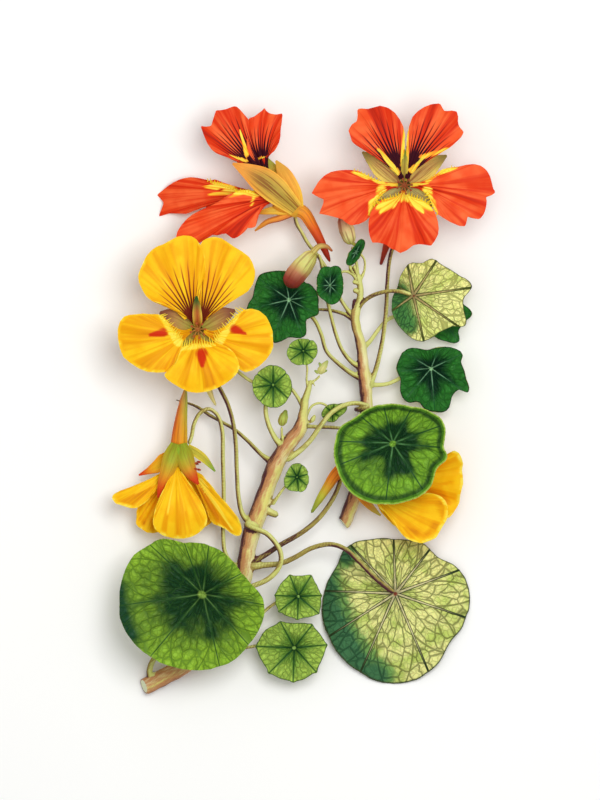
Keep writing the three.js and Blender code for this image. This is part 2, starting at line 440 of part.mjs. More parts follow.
const leaves = {
  leaf_g_large: {
    material: LEAF, hub: [-35.2, -67.7, 17.2], dip: 1.4, rise: 0.6, pucker: 0.7, wave: 1.2, waves: 3,
      turn: 40,
    slope: [-0.03, 0], rings: 4,
    rim: [
      [14, 16.9], [30, 15.6], [46, 15.4], [72, 16.6], [84, 17.4], [110, 19.2], [128, 24.3], [140, 26],
        [153, 27.9],
      [180, 29.2], [198, 30.2], [227, 29], [251, 27.4], [268, 26.7], [290, 25.9], [312, 24.1], [325, 23.4],
      [351, 21.8],
    ],
    veins: [28, 83, 110, 137, 188, 230, 283, 312, 350],
  },
  leaf_h_from_behind: {
    material: PALE_LEAF, hub: [32.2, -67.5, 8.6], rise: -6.2, curl: -0.6, pucker: 0.7, wave: 1, waves: 4,
      turn: 190,
    behind: true, rings: 4,
    rim: [
      [18, 24.3], [40, 19.5], [58, 20], [83, 18.9], [110, 20.2], [136, 23.6], [155, 22.6], [180, 25.1],
        [207, 27.5],
      [235, 29.6], [261, 31.4], [283, 31], [295, 29.8], [318, 25.6], [335, 26.2], [352, 26.2],
    ],
    veins: [20, 52, 92, 133, 178, 213, 246, 293, 341],
  },
  leaf_i_cupped: {
    material: LEAF, hub: [31.3, -14.9, 22.9], dip: 0.6, rise: 1, curl: 2.6, pucker: 0.6, wave: 0.5,
      waves: 3,
    rings: 4, slope: [0, -0.01],
    rim: [
      [22, 19.2], [40, 17], [68, 14], [95, 13.7], [126, 14.8], [148, 16.2], [165, 19.4], [185, 20.6],
        [207, 21.7],
      [232, 22.6], [253, 22.1], [268, 21.4], [285, 20.8], [306, 20.6], [330, 17.6], [345, 19.6],
        [357, 17.8],
    ],
    veins: [20, 62, 104, 140, 178, 202, 263, 303, 355],
  },
  leaf_a_dark: {
    material: DARK_LEAF, hub: [-5, 35.3, 14.5], dip: 0.6, rise: 0.4, pucker: 0.5, wave: 0.7, waves: 3,
      turn: 60,
    rim: [
      [12, 10.2], [30, 9.4], [50, 8.4], [70, 9], [103, 10.4], [118, 11.4], [142, 13.6], [155, 13],
        [176, 12.8],
      [187, 14.6], [196, 15.6], [215, 14], [240, 13.4], [250, 16], [258, 15], [270, 13.2], [293, 14],
        [308, 9.6],
      [320, 9.7], [333, 11.4], [350, 10.4],
    ],
    veins: [8, 45, 100, 145, 193, 246, 290, 333],
  },
  leaf_d_from_behind: {
    material: PALE_LEAF, hub: [38.5, 36.7, 15.4], rise: -2.6, pucker: 0.5, wave: 0.8, waves: 3, turn: 100,
    behind: true,
    rim: [
      [10, 20.8], [25, 17.2], [45, 14.8], [63, 14.5], [75, 11.8], [96, 11.4], [114, 9], [141, 6.6],
        [160, 6.2],
      [200, 8], [222, 9.8], [248, 12], [280, 16.3], [297, 15.9], [306, 15.8], [322, 17.4], [330, 21],
        [345, 18.2],
      [357, 17.6],
    ],
    veins: [8, 57, 100, 150, 215, 283, 326],
  },
  leaf_e_dark: {
    material: DARK_LEAF, hub: [46.8, 30, 5.3], rise: -0.2, pucker: 0.4, wave: 0.4, waves: 3, turn: 0,
    rim: [
      [2, 12.4], [20, 10.2], [45, 8.6], [90, 8], [135, 8.4], [165, 8], [195, 8.6], [225, 7.6], [255, 7.4],
      [285, 9.4], [309, 12.2], [322, 9.4], [345, 9.8],
    ],
    veins: [2, 60, 110, 160, 210, 262, 309],
  },
  leaf_f_dark: {
    material: DARK_LEAF, hub: [44.7, 11.3, 8.4], dip: 0.6, rise: 0.5, pucker: 0.5, wave: 0.8, waves: 4,
      turn: 30,
    rim: [
      [24, 12.2], [44, 10.4], [65, 8.2], [104, 6.6], [148, 11.4], [160, 11.6], [182, 12.2], [200, 11.4],
      [218, 13.6], [233, 14.7], [250, 12.6], [262, 14.6], [290, 15.8], [307, 12.2], [322, 12.3],
        [327, 15.6],
      [345, 12.6], [12, 10.7],
    ].sort((a, b) => a[0] - b[0]),
    veins: [25, 70, 150, 185, 230, 275, 325],
  },
  leaf_b_small: {
    material: DARK_LEAF, hub: [9.3, 40.3, 18], dip: 0.3, pucker: 0.3, fold: 0.25, foldLine: 88, rings: 2,
      columns: 3,
    rim: [[0, 4.7], [37, 5.4], [63, 7.3], [90, 6.6], [112, 6.9], [140, 5.6], [180, 4.6], [218, 5.4],
      [248, 5.6],
      [270, 6.7], [292, 6.6], [322, 5.4]],
    veins: [0, 50, 88, 130, 180, 225, 270, 315],
  },
  leaf_j_small: {
    material: LEAF, hub: [-10.6, 5.5, 16.8], dip: 0.4, pucker: 0.5, rings: 2, columns: 3, wave: 0.4,
      turn: 50,
    rim: [[0, 6.6], [30, 6.4], [60, 6.6], [95, 7], [130, 6.8], [165, 7.2], [190, 7.4], [225, 7.4], [262, 8],
      [285, 8], [320, 7.2]],
    veins: [42, 90, 146, 188, 232, 270, 318],
  },
  leaf_k_small: {
    material: LEAF, hub: [0, 17.4, 19.3], dip: 0.3, pucker: 0.4, rings: 2, columns: 3, wave: 0.3,
    rim: [[0, 5], [40, 5], [80, 4.3], [120, 4.6], [160, 5.4], [195, 5.9], [235, 5.6], [265, 5], [300, 5],
      [335, 4.8]],
    veins: [8, 58, 115, 165, 215, 268, 322],
  },
  leaf_l_small: {
    material: LEAF, hub: [-2.2, -26.8, 15.2], dip: 0.3, pucker: 0.45, rings: 2, columns: 3, wave: 0.3,
      turn: 80,
    rim: [[0, 4.1], [35, 4.2], [80, 4.9], [115, 4.7], [150, 4], [185, 4.6], [225, 5.5], [262, 5],
      [290, 5.4],
      [325, 4.6]],
    veins: [15, 70, 120, 175, 228, 275, 320],
  },
  leaf_m_folded: {
    material: LEAF, hub: [10.2, -4.2, 10.2], pucker: 0.3, rings: 2, columns: 3, fold: 0.3, foldLine: 28,
    slope: [0.02, 0],
    rim: [[28, 5.6], [60, 3.4], [100, 3], [150, 3.2], [195, 4], [228, 3.6], [280, 3.2], [330, 2.8]],
    veins: [28, 80, 140, 205, 270, 330],
  },
  leaf_n_small: {
    material: LEAF, hub: [-1.8, -68.5, 9.9], dip: 0.4, pucker: 0.5, rings: 2, columns: 3, wave: 0.4,
    rim: [[0, 7.8], [30, 7.6], [62, 8.2], [85, 7.2], [115, 7.6], [145, 7.6], [175, 7.8], [208, 8.4],
      [240, 8],
      [285, 7.8], [318, 9], [342, 8.4]],
    veins: [2, 58, 112, 178, 218, 268, 320],
  },
  leaf_o_small: {
    material: LEAF, hub: [-3.2, -86.5, 7.7], dip: 0.5, pucker: 0.6, rings: 2, columns: 3, wave: 0.5,
      turn: 120,
    rim: [[5, 10.9], [30, 10.2], [58, 9.6], [90, 8.6], [130, 10.4], [152, 12], [185, 12.9], [205, 12.2],
      [235, 12],
      [262, 11.6], [285, 11.6], [308, 11], [335, 10.6]],
    veins: [5, 52, 118, 178, 225, 268, 312],
  },
  leaf_c_folded: {
    material: DARK_LEAF, hub: [18.4, 51.9, 17.2], pucker: 0.2, rings: 2, columns: 3, fold: 0.35,
      foldLine: 63,
    rim: [[15, 2.4], [62, 5.2], [100, 2.4], [150, 1.8], [205, 3.2], [236, 5.4], [280, 2.8], [330, 1.8]],
    veins: [15, 62, 120, 200, 240, 300],
  },
};
for (const [name, { material, ...shape }] of Object.entries(leaves)) piece(name, leaf(shape), material);

// ---------------------------------------------------------------- flowers

// A flower's cup, with its spur and its five pointed sepals, is one piece. A sepal is a petal that ends
// in a point. The filled cup stops at its mouth, and the petals' claws start just beyond it.
const sepalShape = (half) => ({ left: half, right: half, tip: [0, 0, 0], cells: [2, 3] });

function calyx(name, { cup, spur, sepals }) {
  const parts = [stem(cup, STEM_SIDES, 3), stem(spur, 6, 4.5)];
  for (const { line, half, cup: hollow = 0.15 } of sepals) {
    parts.push(petal({ line, ...sepalShape(half), cup: hollow }));
  }
  piece(`${name}_calyx_and_spur`, joined(parts), CALYX);
}

// Eight stamens round one style, on a small disc in the throat.
function stamens(name, centre, aim, length) {
  const heart = new THREE.Vector3(...centre);
  const forward = new THREE.Vector3(...aim).normalize();
  const turnTo = new THREE.Quaternion().setFromUnitVectors(new THREE.Vector3(0, 0, 1), forward);
  const spot = (x, y, z) => new THREE.Vector3(x, y, z).applyQuaternion(turnTo).add(heart).toArray();
  const parts = [stem([[...spot(0, 0, -0.2), 0.85], [...spot(0, 0, 0.6), 0.95],
    [...spot(0, 0, 1.4), 0.6]], 6, 1)];
  for (let i = 0; i < STAMENS; i++) {
    const angle = (i / STAMENS) * 2 * Math.PI;
    const reach = length * (i % 2 ? 0.8 : 1);
    const c = Math.cos(angle);
    const s = Math.sin(angle);
    const thread = [[0.45, 0.3, 0.28], [0.9, 0.5 * reach, 0.24], [1.3, reach, 0.55],
      [1.45, reach + 0.8, 0.4]];
    parts.push(stem(thread.map(([out, up, r]) => [...spot(out * c, out * s, up), r]), 3, reach / 2.6));
  }
  parts.push(stem([[...spot(0, 0, 0.5), 0.35], [...spot(0, 0, length * 1.1), 0.25]], 3, length));
  piece(`${name}_stamens`, joined(parts), STAMEN);
}

function flower(name, material, { petals, calyx: cupShape, stamens: heart }) {
  calyx(name, cupShape);
  stamens(name, ...heart);
  for (const [place, shape] of Object.entries(petals)) piece(`${name}_petal_${place}`, petal(shape),
    material);
}

flower("yellow_front_flower", YELLOW, {
  calyx: {
    cup: [[-37, 24.6, 11.2, 1.5], [-37, 24.8, 14.5, 2.7], [-37, 25, 18, 3.9], [-37, 25, 20.4, 4.3]],
    spur: [[-36.8, 23.6, 15, 2.4], [-36.2, 19, 13.8, 2.2], [-35.3, 13, 12.8, 1.8], [-34, 7, 12.2, 1.4],
      [-32.4, 2, 11.8, 0.9], [-30.6, -1.9, 11.4, 0.35]],
    sepals: [
      { line: [[-37, 27.6, 19.4], [-37.1, 31, 20], [-37.3, 36.4, 20.8]], half: [1.9, 2, 1.6, 0.9, 0.25] },
      { line: [[-39.6, 26.4, 19.4], [-44.4, 28.9, 20.2], [-50.3, 30.8, 20.8]],
        half: [2.2, 3.2, 3.3, 2, 0.25] },
      { line: [[-34.4, 26.4, 19.4], [-29.6, 29.1, 20.2], [-23.9, 31.6, 20.8]],
        half: [2.2, 3.2, 3.3, 2, 0.25] },
      { line: [[-38.9, 22.7, 19.4], [-41.6, 19.4, 20], [-44.6, 16.2, 20.6]],
        half: [2.2, 2.8, 2.6, 1.6, 0.25] },
      { line: [[-35.1, 22.7, 19.4], [-32.4, 19.4, 20], [-29.4, 16.2, 20.6]],
        half: [2.2, 2.8, 2.6, 1.6, 0.25] },
    ],
  },
  stamens: [[-37, 25, 21], [0.02, -0.1, 1], 5],
  petals: {
    upper_left: {
      line: [[-38, 27.1, 21.2], [-40.2, 33, 22.8], [-44.3, 44.5, 25], [-48.3, 56.2, 23.8]],
      left: [CLAW, 4.2, 12.5, 13.6, 12, 8.5], right: [CLAW, 2, 6, 9.2, 11, 9.5],
      tip: [0.14, 0.04, 0.01, 0, 0.03, 0.12], cup: 0.02, wave: 0.5,
    },
    upper_right: {
      line: [[-36, 27.1, 21.2], [-33.8, 33, 22.4], [-29.5, 44, 23.4], [-25.5, 54.8, 22]],
      left: [CLAW, 2, 5.5, 7.5, 9, 8.5], right: [CLAW, 3.8, 10.5, 13, 11.3, 7],
      tip: [0.07, 0, 0.02, 0.03, 0.06, 0.12], wave: 0.5,
    },
    left: {
      line: [[-39.2, 24.6, 21.2], [-44.5, 23.3, 22.5], [-54, 21.6, 23.8], [-65.3, 21, 22.2]],
      left: [CLAW, 3, 11, 11.4, 8.8, 5.5], right: [CLAW, 2, 7.3, 9, 9.2, 6.5],
      tip: [0.12, 0.04, 0, 0, 0.03, 0.12], cup: -0.02, wave: 0.4,
    },
    right: {
      line: [[-34.8, 24.6, 21.2], [-29.5, 23.7, 22.3], [-20.5, 21.5, 23.3], [-10.4, 19.8, 21.8]],
      left: [CLAW, 2, 7.3, 10.2, 10, 6], right: [CLAW, 2.8, 9, 12, 8.5, 4],
      tip: [0.07, 0.01, 0, 0.02, 0.04, 0.08], cup: -0.02, wave: 0.4,
    },
    lower: {
      line: [[-37, 22.9, 21.2], [-36.6, 18, 23.9], [-35.8, 11, 26], [-35.5, 2.4, 24.6]],
      left: [CLAW, 3.4, 10.5, 13.2, 10.6, 6.5], right: [CLAW, 3.6, 9.2, 12.6, 11.2, 7],
      tip: [0.1, 0.02, 0, 0, 0.02, 0.1], cup: 0.02, wave: 0.3,
    },
  },
});

flower("yellow_hanging_flower", YELLOW, {
  calyx: {
    cup: [[-43.5, -14.8, 10.6, 2.9], [-43.5, -17.2, 10.6, 4.1], [-43.3, -20.5, 10.6, 4.7],
      [-43.3, -22, 10.6, 4.5]],
    spur: [[-43.6, -16.5, 10.6, 3.1], [-43.2, -10.5, 10.7, 2.6], [-42.6, -5, 10.8, 2],
      [-41.9, 0, 10.9, 1.4],
      [-41.2, 4.2, 11, 0.5]],
    sepals: [
      { line: [[-46, -19.4, 13.8], [-48.9, -26.5, 15], [-51, -34.6, 14.6]],
        half: [1.9, 2, 1.9, 1.2, 0.25] },
      { line: [[-41.6, -18.5, 14.2], [-39.5, -24, 16.1], [-36.7, -29.3, 16.6]],
        half: [2.2, 2.6, 2.4, 1.5, 0.3] },
      { line: [[-46.6, -19.6, 9.4], [-52, -23.4, 8.4], [-57.6, -26.1, 8]], half: [2.2, 2.6, 2, 1.1, 0.25] },
      { line: [[-39.8, -17.4, 10.4], [-35, -20.2, 10.4], [-30.9, -24.8, 9.8]],
        half: [1.3, 1.5, 1.3, 0.8, 0.25] },
      { line: [[-43, -19.6, 6.6], [-42.6, -25, 4.6], [-42.2, -31, 3.6]], half: [2.2, 2.8, 2.4, 1.4, 0.25] },
    ],
  },
  stamens: [[-42.4, -22.9, 12.4], [1, -0.22, 0.22], 5.2],
  petals: {
    front: {
      line: [[-44.2, -22.9, 13.9], [-44.2, -30, 16.4], [-43.3, -39, 18], [-43, -48.5, 16]],
      left: [CLAW, 2.2, 4.8, 8, 9.5, 6.5], right: [CLAW, 2.2, 4.6, 8, 9.3, 7.5],
      tip: [0.13, 0.03, 0, 0, 0.03, 0.12], cup: -0.12, wave: 0.3,
    },
    upper_left: {
      line: [[-46.2, -22.9, 11.6], [-51.5, -28, 12.2], [-58.8, -32, 12.8], [-67.2, -33.6, 12]],
      left: [CLAW, 1.8, 3, 4.5, 4, 2.2], right: [CLAW, 1.8, 3.5, 3, 3, 2], lean: -0.25,
      tip: [0.06, 0, 0, 0.06],
    },
    lower_left: {
      line: [[-45.2, -22.7, 8.6], [-50, -30.5, 8.4], [-54.2, -38, 8.6], [-57, -45.4, 8]],
      left: [CLAW, 1.6, 4, 6, 6, 5], right: [CLAW, 1.6, 4.6, 5.4, 4.5, 3],
      tip: [0.1, 0.04, 0, 0.04, 0.1], wave: 0.9, waves: 4,
    },
    right: {
      line: [[-40.8, -22.9, 9.8], [-36.4, -29.8, 10.6], [-30, -38.5, 12.2], [-21.8, -46.8, 12.6]],
      left: [CLAW, 1, 2.1, 2.9, 3, 1.8], right: [CLAW, 1, 2.3, 3.4, 3.6, 1.8], lean: -0.5,
      tip: [0.06, 0, 0, 0.06],
    },
    behind: {
      line: [[-42.8, -22.7, 7.5], [-40.4, -30, 5.4], [-37, -38, 4.4], [-35, -44.6, 4.6]],
      left: [CLAW, 1.4, 4.4, 6, 5.8, 4], right: [CLAW, 1.6, 5, 7, 7, 5],
      tip: [0.1, 0.03, 0, 0.03, 0.1], cup: 0.05, wave: 0.3,
    },
  },
});

flower("yellow_side_flower", YELLOW, {
  calyx: {
    cup: [[13.6, -22, 12.8, 1.6], [15.4, -23, 13, 3], [17.8, -24.5, 13.3, 3.9], [20.3, -25.9, 13.6, 4.1]],
    spur: [[15.4, -22.8, 13.2, 2.6], [11.6, -25.6, 13.6, 2.1], [8.6, -29.9, 13.5, 1.7],
      [5.6, -34.6, 13.2, 1.3],
      [2.7, -39.4, 12.8, 0.4]],
    sepals: [
      { line: [[17.6, -27, 12.6], [20, -33, 11.6], [23.2, -36.9, 11.4], [27, -40.3, 11.2]],
        half: [1.8, 1.8, 1.5, 1.1, 0.25] },
      { line: [[18.6, -24.6, 16.6], [23.4, -26.4, 18.4], [28.8, -27.6, 18.9]],
        half: [2, 2.6, 2.4, 1.4, 0.25] },
      { line: [[19, -22, 14.8], [24.6, -17.2, 15.9], [30, -15, 16.3]], half: [1.8, 2, 1.8, 1.1, 0.25] },
      { line: [[19.8, -24.2, 10.4], [25, -22.6, 7.8], [31, -21.8, 6.6]], half: [2, 2.4, 2.2, 1.3, 0.25] },
      { line: [[18.2, -27.3, 10.6], [22.4, -31.2, 7.8], [26.8, -35.2, 5.6]],
        half: [1.8, 2.2, 2, 1.2, 0.25] },
    ],
  },
  stamens: [[20.9, -26.2, 13.7], [0.86, -0.5, 0.05], 6],
  petals: {
    spoon: {
      line: [[19.9, -28.4, 13.8], [26.6, -34.2, 14.6], [36, -40.4, 15.6], [47, -46, 18.6]],
      left: [CLAW, 1.5, 2.8, 7, 11, 10], right: [CLAW, 1.5, 3.5, 6.6, 7.4, 4.5],
      tip: [0.22, 0.08, 0, 0, 0.04, 0.1], cup: 0.2,
    },
    ruffled: {
      line: [[21.6, -26.8, 11.3], [32, -27.6, 9.6], [44, -28.6, 10], [55.8, -29.5, 12.6]],
      left: [CLAW, 1.2, 4, 8, 11, 11.5], right: [CLAW, 1.2, 4, 8, 11.5, 10.5],
      tip: [0.06, 0.01, 0.02, 0, 0.05, 0.14], wave: 1, waves: 5, cup: 0.04,
    },
    upper: {
      line: [[22.4, -24.5, 13.4], [29.6, -21.8, 13], [38.4, -19.4, 14.2], [45.8, -18.6, 15.6]],
      left: [CLAW, 1.4, 4, 6, 6.4, 4.6], right: [CLAW, 1.4, 4, 6.5, 7, 5],
      tip: [0.1, 0.02, 0, 0.02, 0.1], cup: 0.05,
    },
    top: {
      line: [[21.3, -26, 15.8], [27.6, -27.4, 16.6], [34, -27.8, 17.8], [39.4, -28, 18.4]],
      left: [CLAW, 1.3, 3, 4.4, 4.6, 3.4], right: [CLAW, 1.3, 3, 4.4, 4.6, 3.4],
      tip: [0.12, 0.02, 0.02, 0.12],
    },
    lower: {
      line: [[20.2, -28, 11.2], [27, -32.8, 8.2], [34, -37.6, 6], [41.4, -42, 5.4]],
      left: [CLAW, 1.4, 4, 6, 6.4, 5], right: [CLAW, 1.4, 4, 6, 6.4, 5],
      tip: [0.1, 0.02, 0, 0.02, 0.1], cup: 0.04,
    },
  },
});

flower("red_front_flower", RED, {
  calyx: {
    cup: [[35.2, 75.2, 11.2, 1.5], [35.3, 75.4, 14.5, 2.7], [35.3, 75.5, 18, 3.9], [35.3, 75.5, 21.4, 4.3]],
    spur: [[35, 74, 15, 2.6], [33.6, 68.4, 12.6, 2.4], [31.4, 61.8, 9.4, 1.9], [29.2, 54.6, 6, 1.3],
      [27, 47.4, 0.3, 0.45]],
    sepals: [
      { line: [[35.3, 78.2, 20.4], [35.4, 85.6, 21.6], [35.5, 94.6, 22.6]],
        half: [1.8, 1.9, 1.9, 1.5, 0.25] },
      { line: [[32.8, 77.2, 20.4], [27.4, 81.9, 21.2], [20.6, 87, 22]], half: [2.1, 3.3, 3.2, 1.9, 0.25] },
      { line: [[37.9, 77.2, 20.4], [43.6, 81.8, 21.2], [50.2, 85.8, 22]],
        half: [2.1, 3.3, 3.2, 1.9, 0.25] },
      { line: [[33.1, 73.9, 20.4], [29.4, 71.4, 21], [24.6, 67.6, 21.6]],
        half: [2.1, 2.7, 2.5, 1.6, 0.25] },
      { line: [[37.6, 73.9, 20.4], [41.4, 71.4, 21], [46.2, 67.6, 21.6]],
        half: [2.1, 2.7, 2.5, 1.6, 0.25] },
    ],
  },
  stamens: [[35.3, 75.5, 22], [0.02, -0.1, 1], 5],
  petals: {
    upper_left: {
      line: [[34.35, 77.6, 22.2], [31.4, 84, 24], [27.4, 92.5, 26], [23.2, 103.2, 24.6]],
      left: [CLAW, 1.6, 4.5, 9.6, 9.6, 5], right: [CLAW, 1.6, 4.4, 7.5, 8.6, 6.5],
      tip: [0.04, 0.02, 0.03, 0, 0.02, 0.05, 0.1], wave: 0.5, cells: [6, 5],
    },
    upper_right: {
      line: [[36.25, 77.6, 22.2], [38.9, 84, 23.8], [43.5, 93, 25.6], [48.4, 103.9, 24.2]],
      left: [CLAW, 1.6, 3.5, 6.8, 7.2, 4.5], right: [CLAW, 1.6, 3.8, 9, 10.2, 6.5],
      tip: [0.1, 0.03, 0, 0.01, 0.09, 0.03, 0.02], wave: 0.5, cells: [6, 5],
    },
    left: {
      line: [[33.1, 75.4, 22.2], [26, 74.8, 23.6], [15.5, 73, 24.8], [2.6, 71.6, 23]],
      left: [CLAW, 1.1, 10.8, 11.3, 7.8, 5.5], right: [CLAW, 1.1, 4.5, 7.2, 7.5, 6],
      tip: [0.12, 0.06, 0.13, 0, 0.04, 0.09, 0.16], wave: 0.4, cells: [6, 5],
    },
    right: {
      line: [[37.5, 75.4, 22.2], [44, 75, 23.4], [54.5, 72.6, 24.4], [67.5, 71.6, 22.8]],
      left: [CLAW, 1.1, 7.3, 9.6, 10.5, 6.5], right: [CLAW, 1.1, 9.4, 11.6, 8.6, 5],
      tip: [0.1, 0.05, 0.02, 0, 0.1, 0.07, 0.12], wave: 0.4, cells: [6, 5],
    },
    lower: {
      line: [[35.2, 73.5, 22.2], [35.1, 69.4, 24.4], [35, 62, 26.6], [34.4, 51.5, 25]],
      left: [CLAW, 1.7, 10.4, 12.4, 11, 6.5], right: [CLAW, 1.7, 10.4, 12, 11, 6],
      tip: [0.12, 0.1, 0.14, 0, 0.13, 0.13, 0.13], wave: 0.4, cells: [6, 5],
    },
  },
});

flower("red_hanging_flower", RED, {
  calyx: {
    cup: [[-0.6, 65.6, 13, 1.9], [-3, 67, 13.4, 3.2], [-6, 69.2, 14, 4.1], [-8.4, 71, 14.5, 4.3]],
    spur: [[-3, 67.4, 13.4, 3], [0.4, 66, 13.6, 2.7], [3.4, 61, 14, 2.2], [6.2, 55.4, 14.4, 1.6],
      [9.3, 49.5, 14.8, 0.4]],
    sepals: [
      { line: [[-6, 69.4, 17], [-12.4, 74.8, 19.4], [-18.6, 79, 20.4], [-25, 83, 20.4]],
        half: [3, 4.4, 4.4, 2.8, 0.3] },
      { line: [[-4.4, 70.8, 16], [-6, 76.4, 17], [-8.6, 81, 17.4], [-10.6, 84.6, 17.4]],
        half: [2.8, 3.8, 3.6, 2.4, 0.3] },
      { line: [[-4.8, 66.6, 14.4], [-10, 63.6, 14.2], [-17.2, 59.8, 13.4]],
        half: [1.5, 1.4, 1.2, 0.8, 0.25] },
      { line: [[-5.6, 71, 11.6], [-9.6, 77.4, 10], [-13.4, 82, 9.4]], half: [2.2, 2.8, 2.6, 1.7, 0.25] },
      { line: [[-6, 67, 10.8], [-11.6, 67.4, 7.2], [-17.4, 68.4, 5.2]], half: [2.4, 3, 2.6, 1.6, 0.25] },
    ],
  },
  stamens: [[-9, 71.4, 14.8], [-0.9, 0.43, 0.06], 5.2],
  petals: {
    upper_left: {
      line: [[-9.4, 73.6, 15.6], [-18, 83.4, 17.2], [-23.5, 92, 18.8], [-29, 102, 18]],
      left: [CLAW, 1, 1.6, 7.5, 10.5, 5.5], right: [CLAW, 1, 1.1, 2.6, 5.6, 5.5],
      tip: [0.12, 0.1, 0, 0.02, 0, 0, 0.05], wave: 0.5, cells: [6, 5],
    },
    upper_right: {
      line: [[-7.9, 73.8, 13.6], [-16.6, 82.8, 15.2], [-15, 91, 16.8], [-10.9, 102.4, 16]],
      left: [CLAW, 1, 1.1, 2.2, 5.2, 4.5], right: [CLAW, 1, 1.3, 4.5, 6, 3.8],
      tip: [0.07, 0.02, 0, 0.05, 0.05, 0.04, 0.05], wave: 0.4, cells: [6, 5],
    },
    far_left: {
      line: [[-10.4, 71.2, 12.8], [-22, 73.6, 11], [-35, 73, 7], [-50.8, 69.6, 0.25]],
      left: [CLAW, 1.1, 1.3, 4.4, 6.2, 4.6], right: [CLAW, 1.1, 1.6, 4.6, 6.2, 3.6],
      tip: [0.01, 0.02, 0.04, 0.05, 0.01, 0, 0.09], wave: 0.3, cells: [6, 5],
    },
    lower: {
      line: [[-9.8, 69.8, 16], [-17, 70, 18], [-25, 65.2, 19.2], [-38.6, 55.2, 16.2]],
      left: [CLAW, 1.4, 6.3, 8, 5.4, 3], right: [CLAW, 1.4, 5.6, 8, 9.6, 8],
      tip: [0.12, 0.04, 0.07, 0, 0.04, 0.02, 0.02], wave: 0.5, cells: [6, 5],
    },
    behind: {
      line: [[-10.8, 70.4, 11.4], [-17, 70.8, 9.6], [-26, 68.6, 6.2], [-34.4, 63.8, 3.8]],
      left: [CLAW, 1.4, 4, 6, 6, 4], right: [CLAW, 1.4, 3, 4, 4, 3.4],
      tip: [0.1, 0.03, 0, 0.03, 0.1], wave: 0.3,
    },
  },
});

// ---------------------------------------------------------------- buds

// A bud is its closed calyx, with a ridge where sepals meet and, once it is big enough, its spur.
function bud(name, body, extras = [], sides = 5) {
  const parts = [stem(body, sides, 2.4)];
  for (const route of extras) parts.push(stem(route, Math.min(sides, 5), 2.2));
  piece(name, joined(parts), BUD);
}

bud("red_leaning_bud", [
  [4, 51.7, 21, 1.5], [2.4, 50.2, 21.2, 2.7], [-0.2, 47, 21.4, 3.5], [-2.8, 43.8, 21.3, 3.6],
    [-4.6, 41.2, 21.1, 3],
  [-5.6, 39.7, 21, 1.5],
], [[[3, 51.6, 21.6, 1.3], [5.4, 53.9, 22, 1], [8, 54, 22, 0.8], [10.2, 52.2, 21.8, 0.35]]], 8);
bud("red_upright_bud", [
  [16.8, 54.6, 16, 1], [16.2, 56.4, 16, 2.2], [15.2, 59.6, 16, 2.7], [14.2, 63, 16, 2.3],
    [13.5, 65.8, 16, 0.8],
], [[[16.6, 56, 15.6, 0.8], [18, 54.6, 15, 0.6], [19.4, 54.8, 14.6, 0.3]]], 7);
bud("yellow_small_bud", [
  [-7.6, -9, 14.3, 0.7], [-7.4, -7.4, 14.5, 1.6], [-6.8, -5.4, 14.7, 1.5], [-6, -3.2, 14.8, 0.4],
]);
bud("yellow_bud_behind_petal", [
  [-24.3, 11.5, 14, 0.8], [-25.4, 13.2, 14.2, 1.8], [-26.8, 15.4, 14.5, 1.8], [-28, 17.4, 14.7, 0.6],
]);
bud("yellow_bud_behind_leaf", [
  [15, -9.9, 10.7, 0.7], [16, -10.2, 11.6, 1.3], [16.9, -10.5, 12.9, 1.3], [17.4, -10.7, 14.2, 0.4],
]);
bud("yellow_tip_leaves", [
  [5.5, 9.2, 17.2, 0.7], [6.2, 10.6, 17.4, 1.4], [7.4, 12.4, 17.6, 1.1], [8.6, 14.1, 17.8, 0.3],
], [
  [[5.4, 9.6, 17.2, 0.8], [3.8, 10.6, 17.6, 0.3]],
  [[6.4, 10, 17.2, 0.8], [8.4, 10.6, 17.5, 0.3]],
  [[6.6, 11.4, 17.6, 0.8], [5.4, 13.4, 18, 0.3]],
], 4);

export default plant;
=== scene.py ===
import bisect
import math

import bmesh
import bpy
from mathutils import Matrix, Vector, kdtree, noise


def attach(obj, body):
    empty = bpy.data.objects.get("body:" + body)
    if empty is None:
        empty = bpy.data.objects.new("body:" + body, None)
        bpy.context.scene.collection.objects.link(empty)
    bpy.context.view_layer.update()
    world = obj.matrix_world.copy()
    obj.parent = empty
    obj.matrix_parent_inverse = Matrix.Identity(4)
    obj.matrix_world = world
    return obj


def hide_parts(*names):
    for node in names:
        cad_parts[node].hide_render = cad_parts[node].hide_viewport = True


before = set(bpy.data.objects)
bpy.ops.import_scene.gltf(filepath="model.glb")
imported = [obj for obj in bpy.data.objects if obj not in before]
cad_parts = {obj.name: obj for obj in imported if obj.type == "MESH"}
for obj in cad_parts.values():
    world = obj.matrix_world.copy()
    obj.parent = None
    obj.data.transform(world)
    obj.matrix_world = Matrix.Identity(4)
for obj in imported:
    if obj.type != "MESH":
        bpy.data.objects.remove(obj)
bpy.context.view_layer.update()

# ---------------------------------------------------------------- table, light and view
# The cut plant lies on a plain pale table. One broad lamp hangs a little to the upper right and a paler
# one stands at the left. The view is straight down, as on a flat plate, with +Y at the top.

MM = 0.001  # sizes are written in millimetres, and finished pieces are in metres
SHARP = 1.0  # the angle from which an edge is drawn sharp, in radians


def tone(code):
    """A colour written as six hex digits, as linear light."""
    parts = [int(code[i:i + 2], 16) / 255 for i in (0, 2, 4)]
    return [c / 12.92 if c <= 0.04045 else ((c + 0.055) / 1.055) ** 2.4 for c in parts] + [1.0]


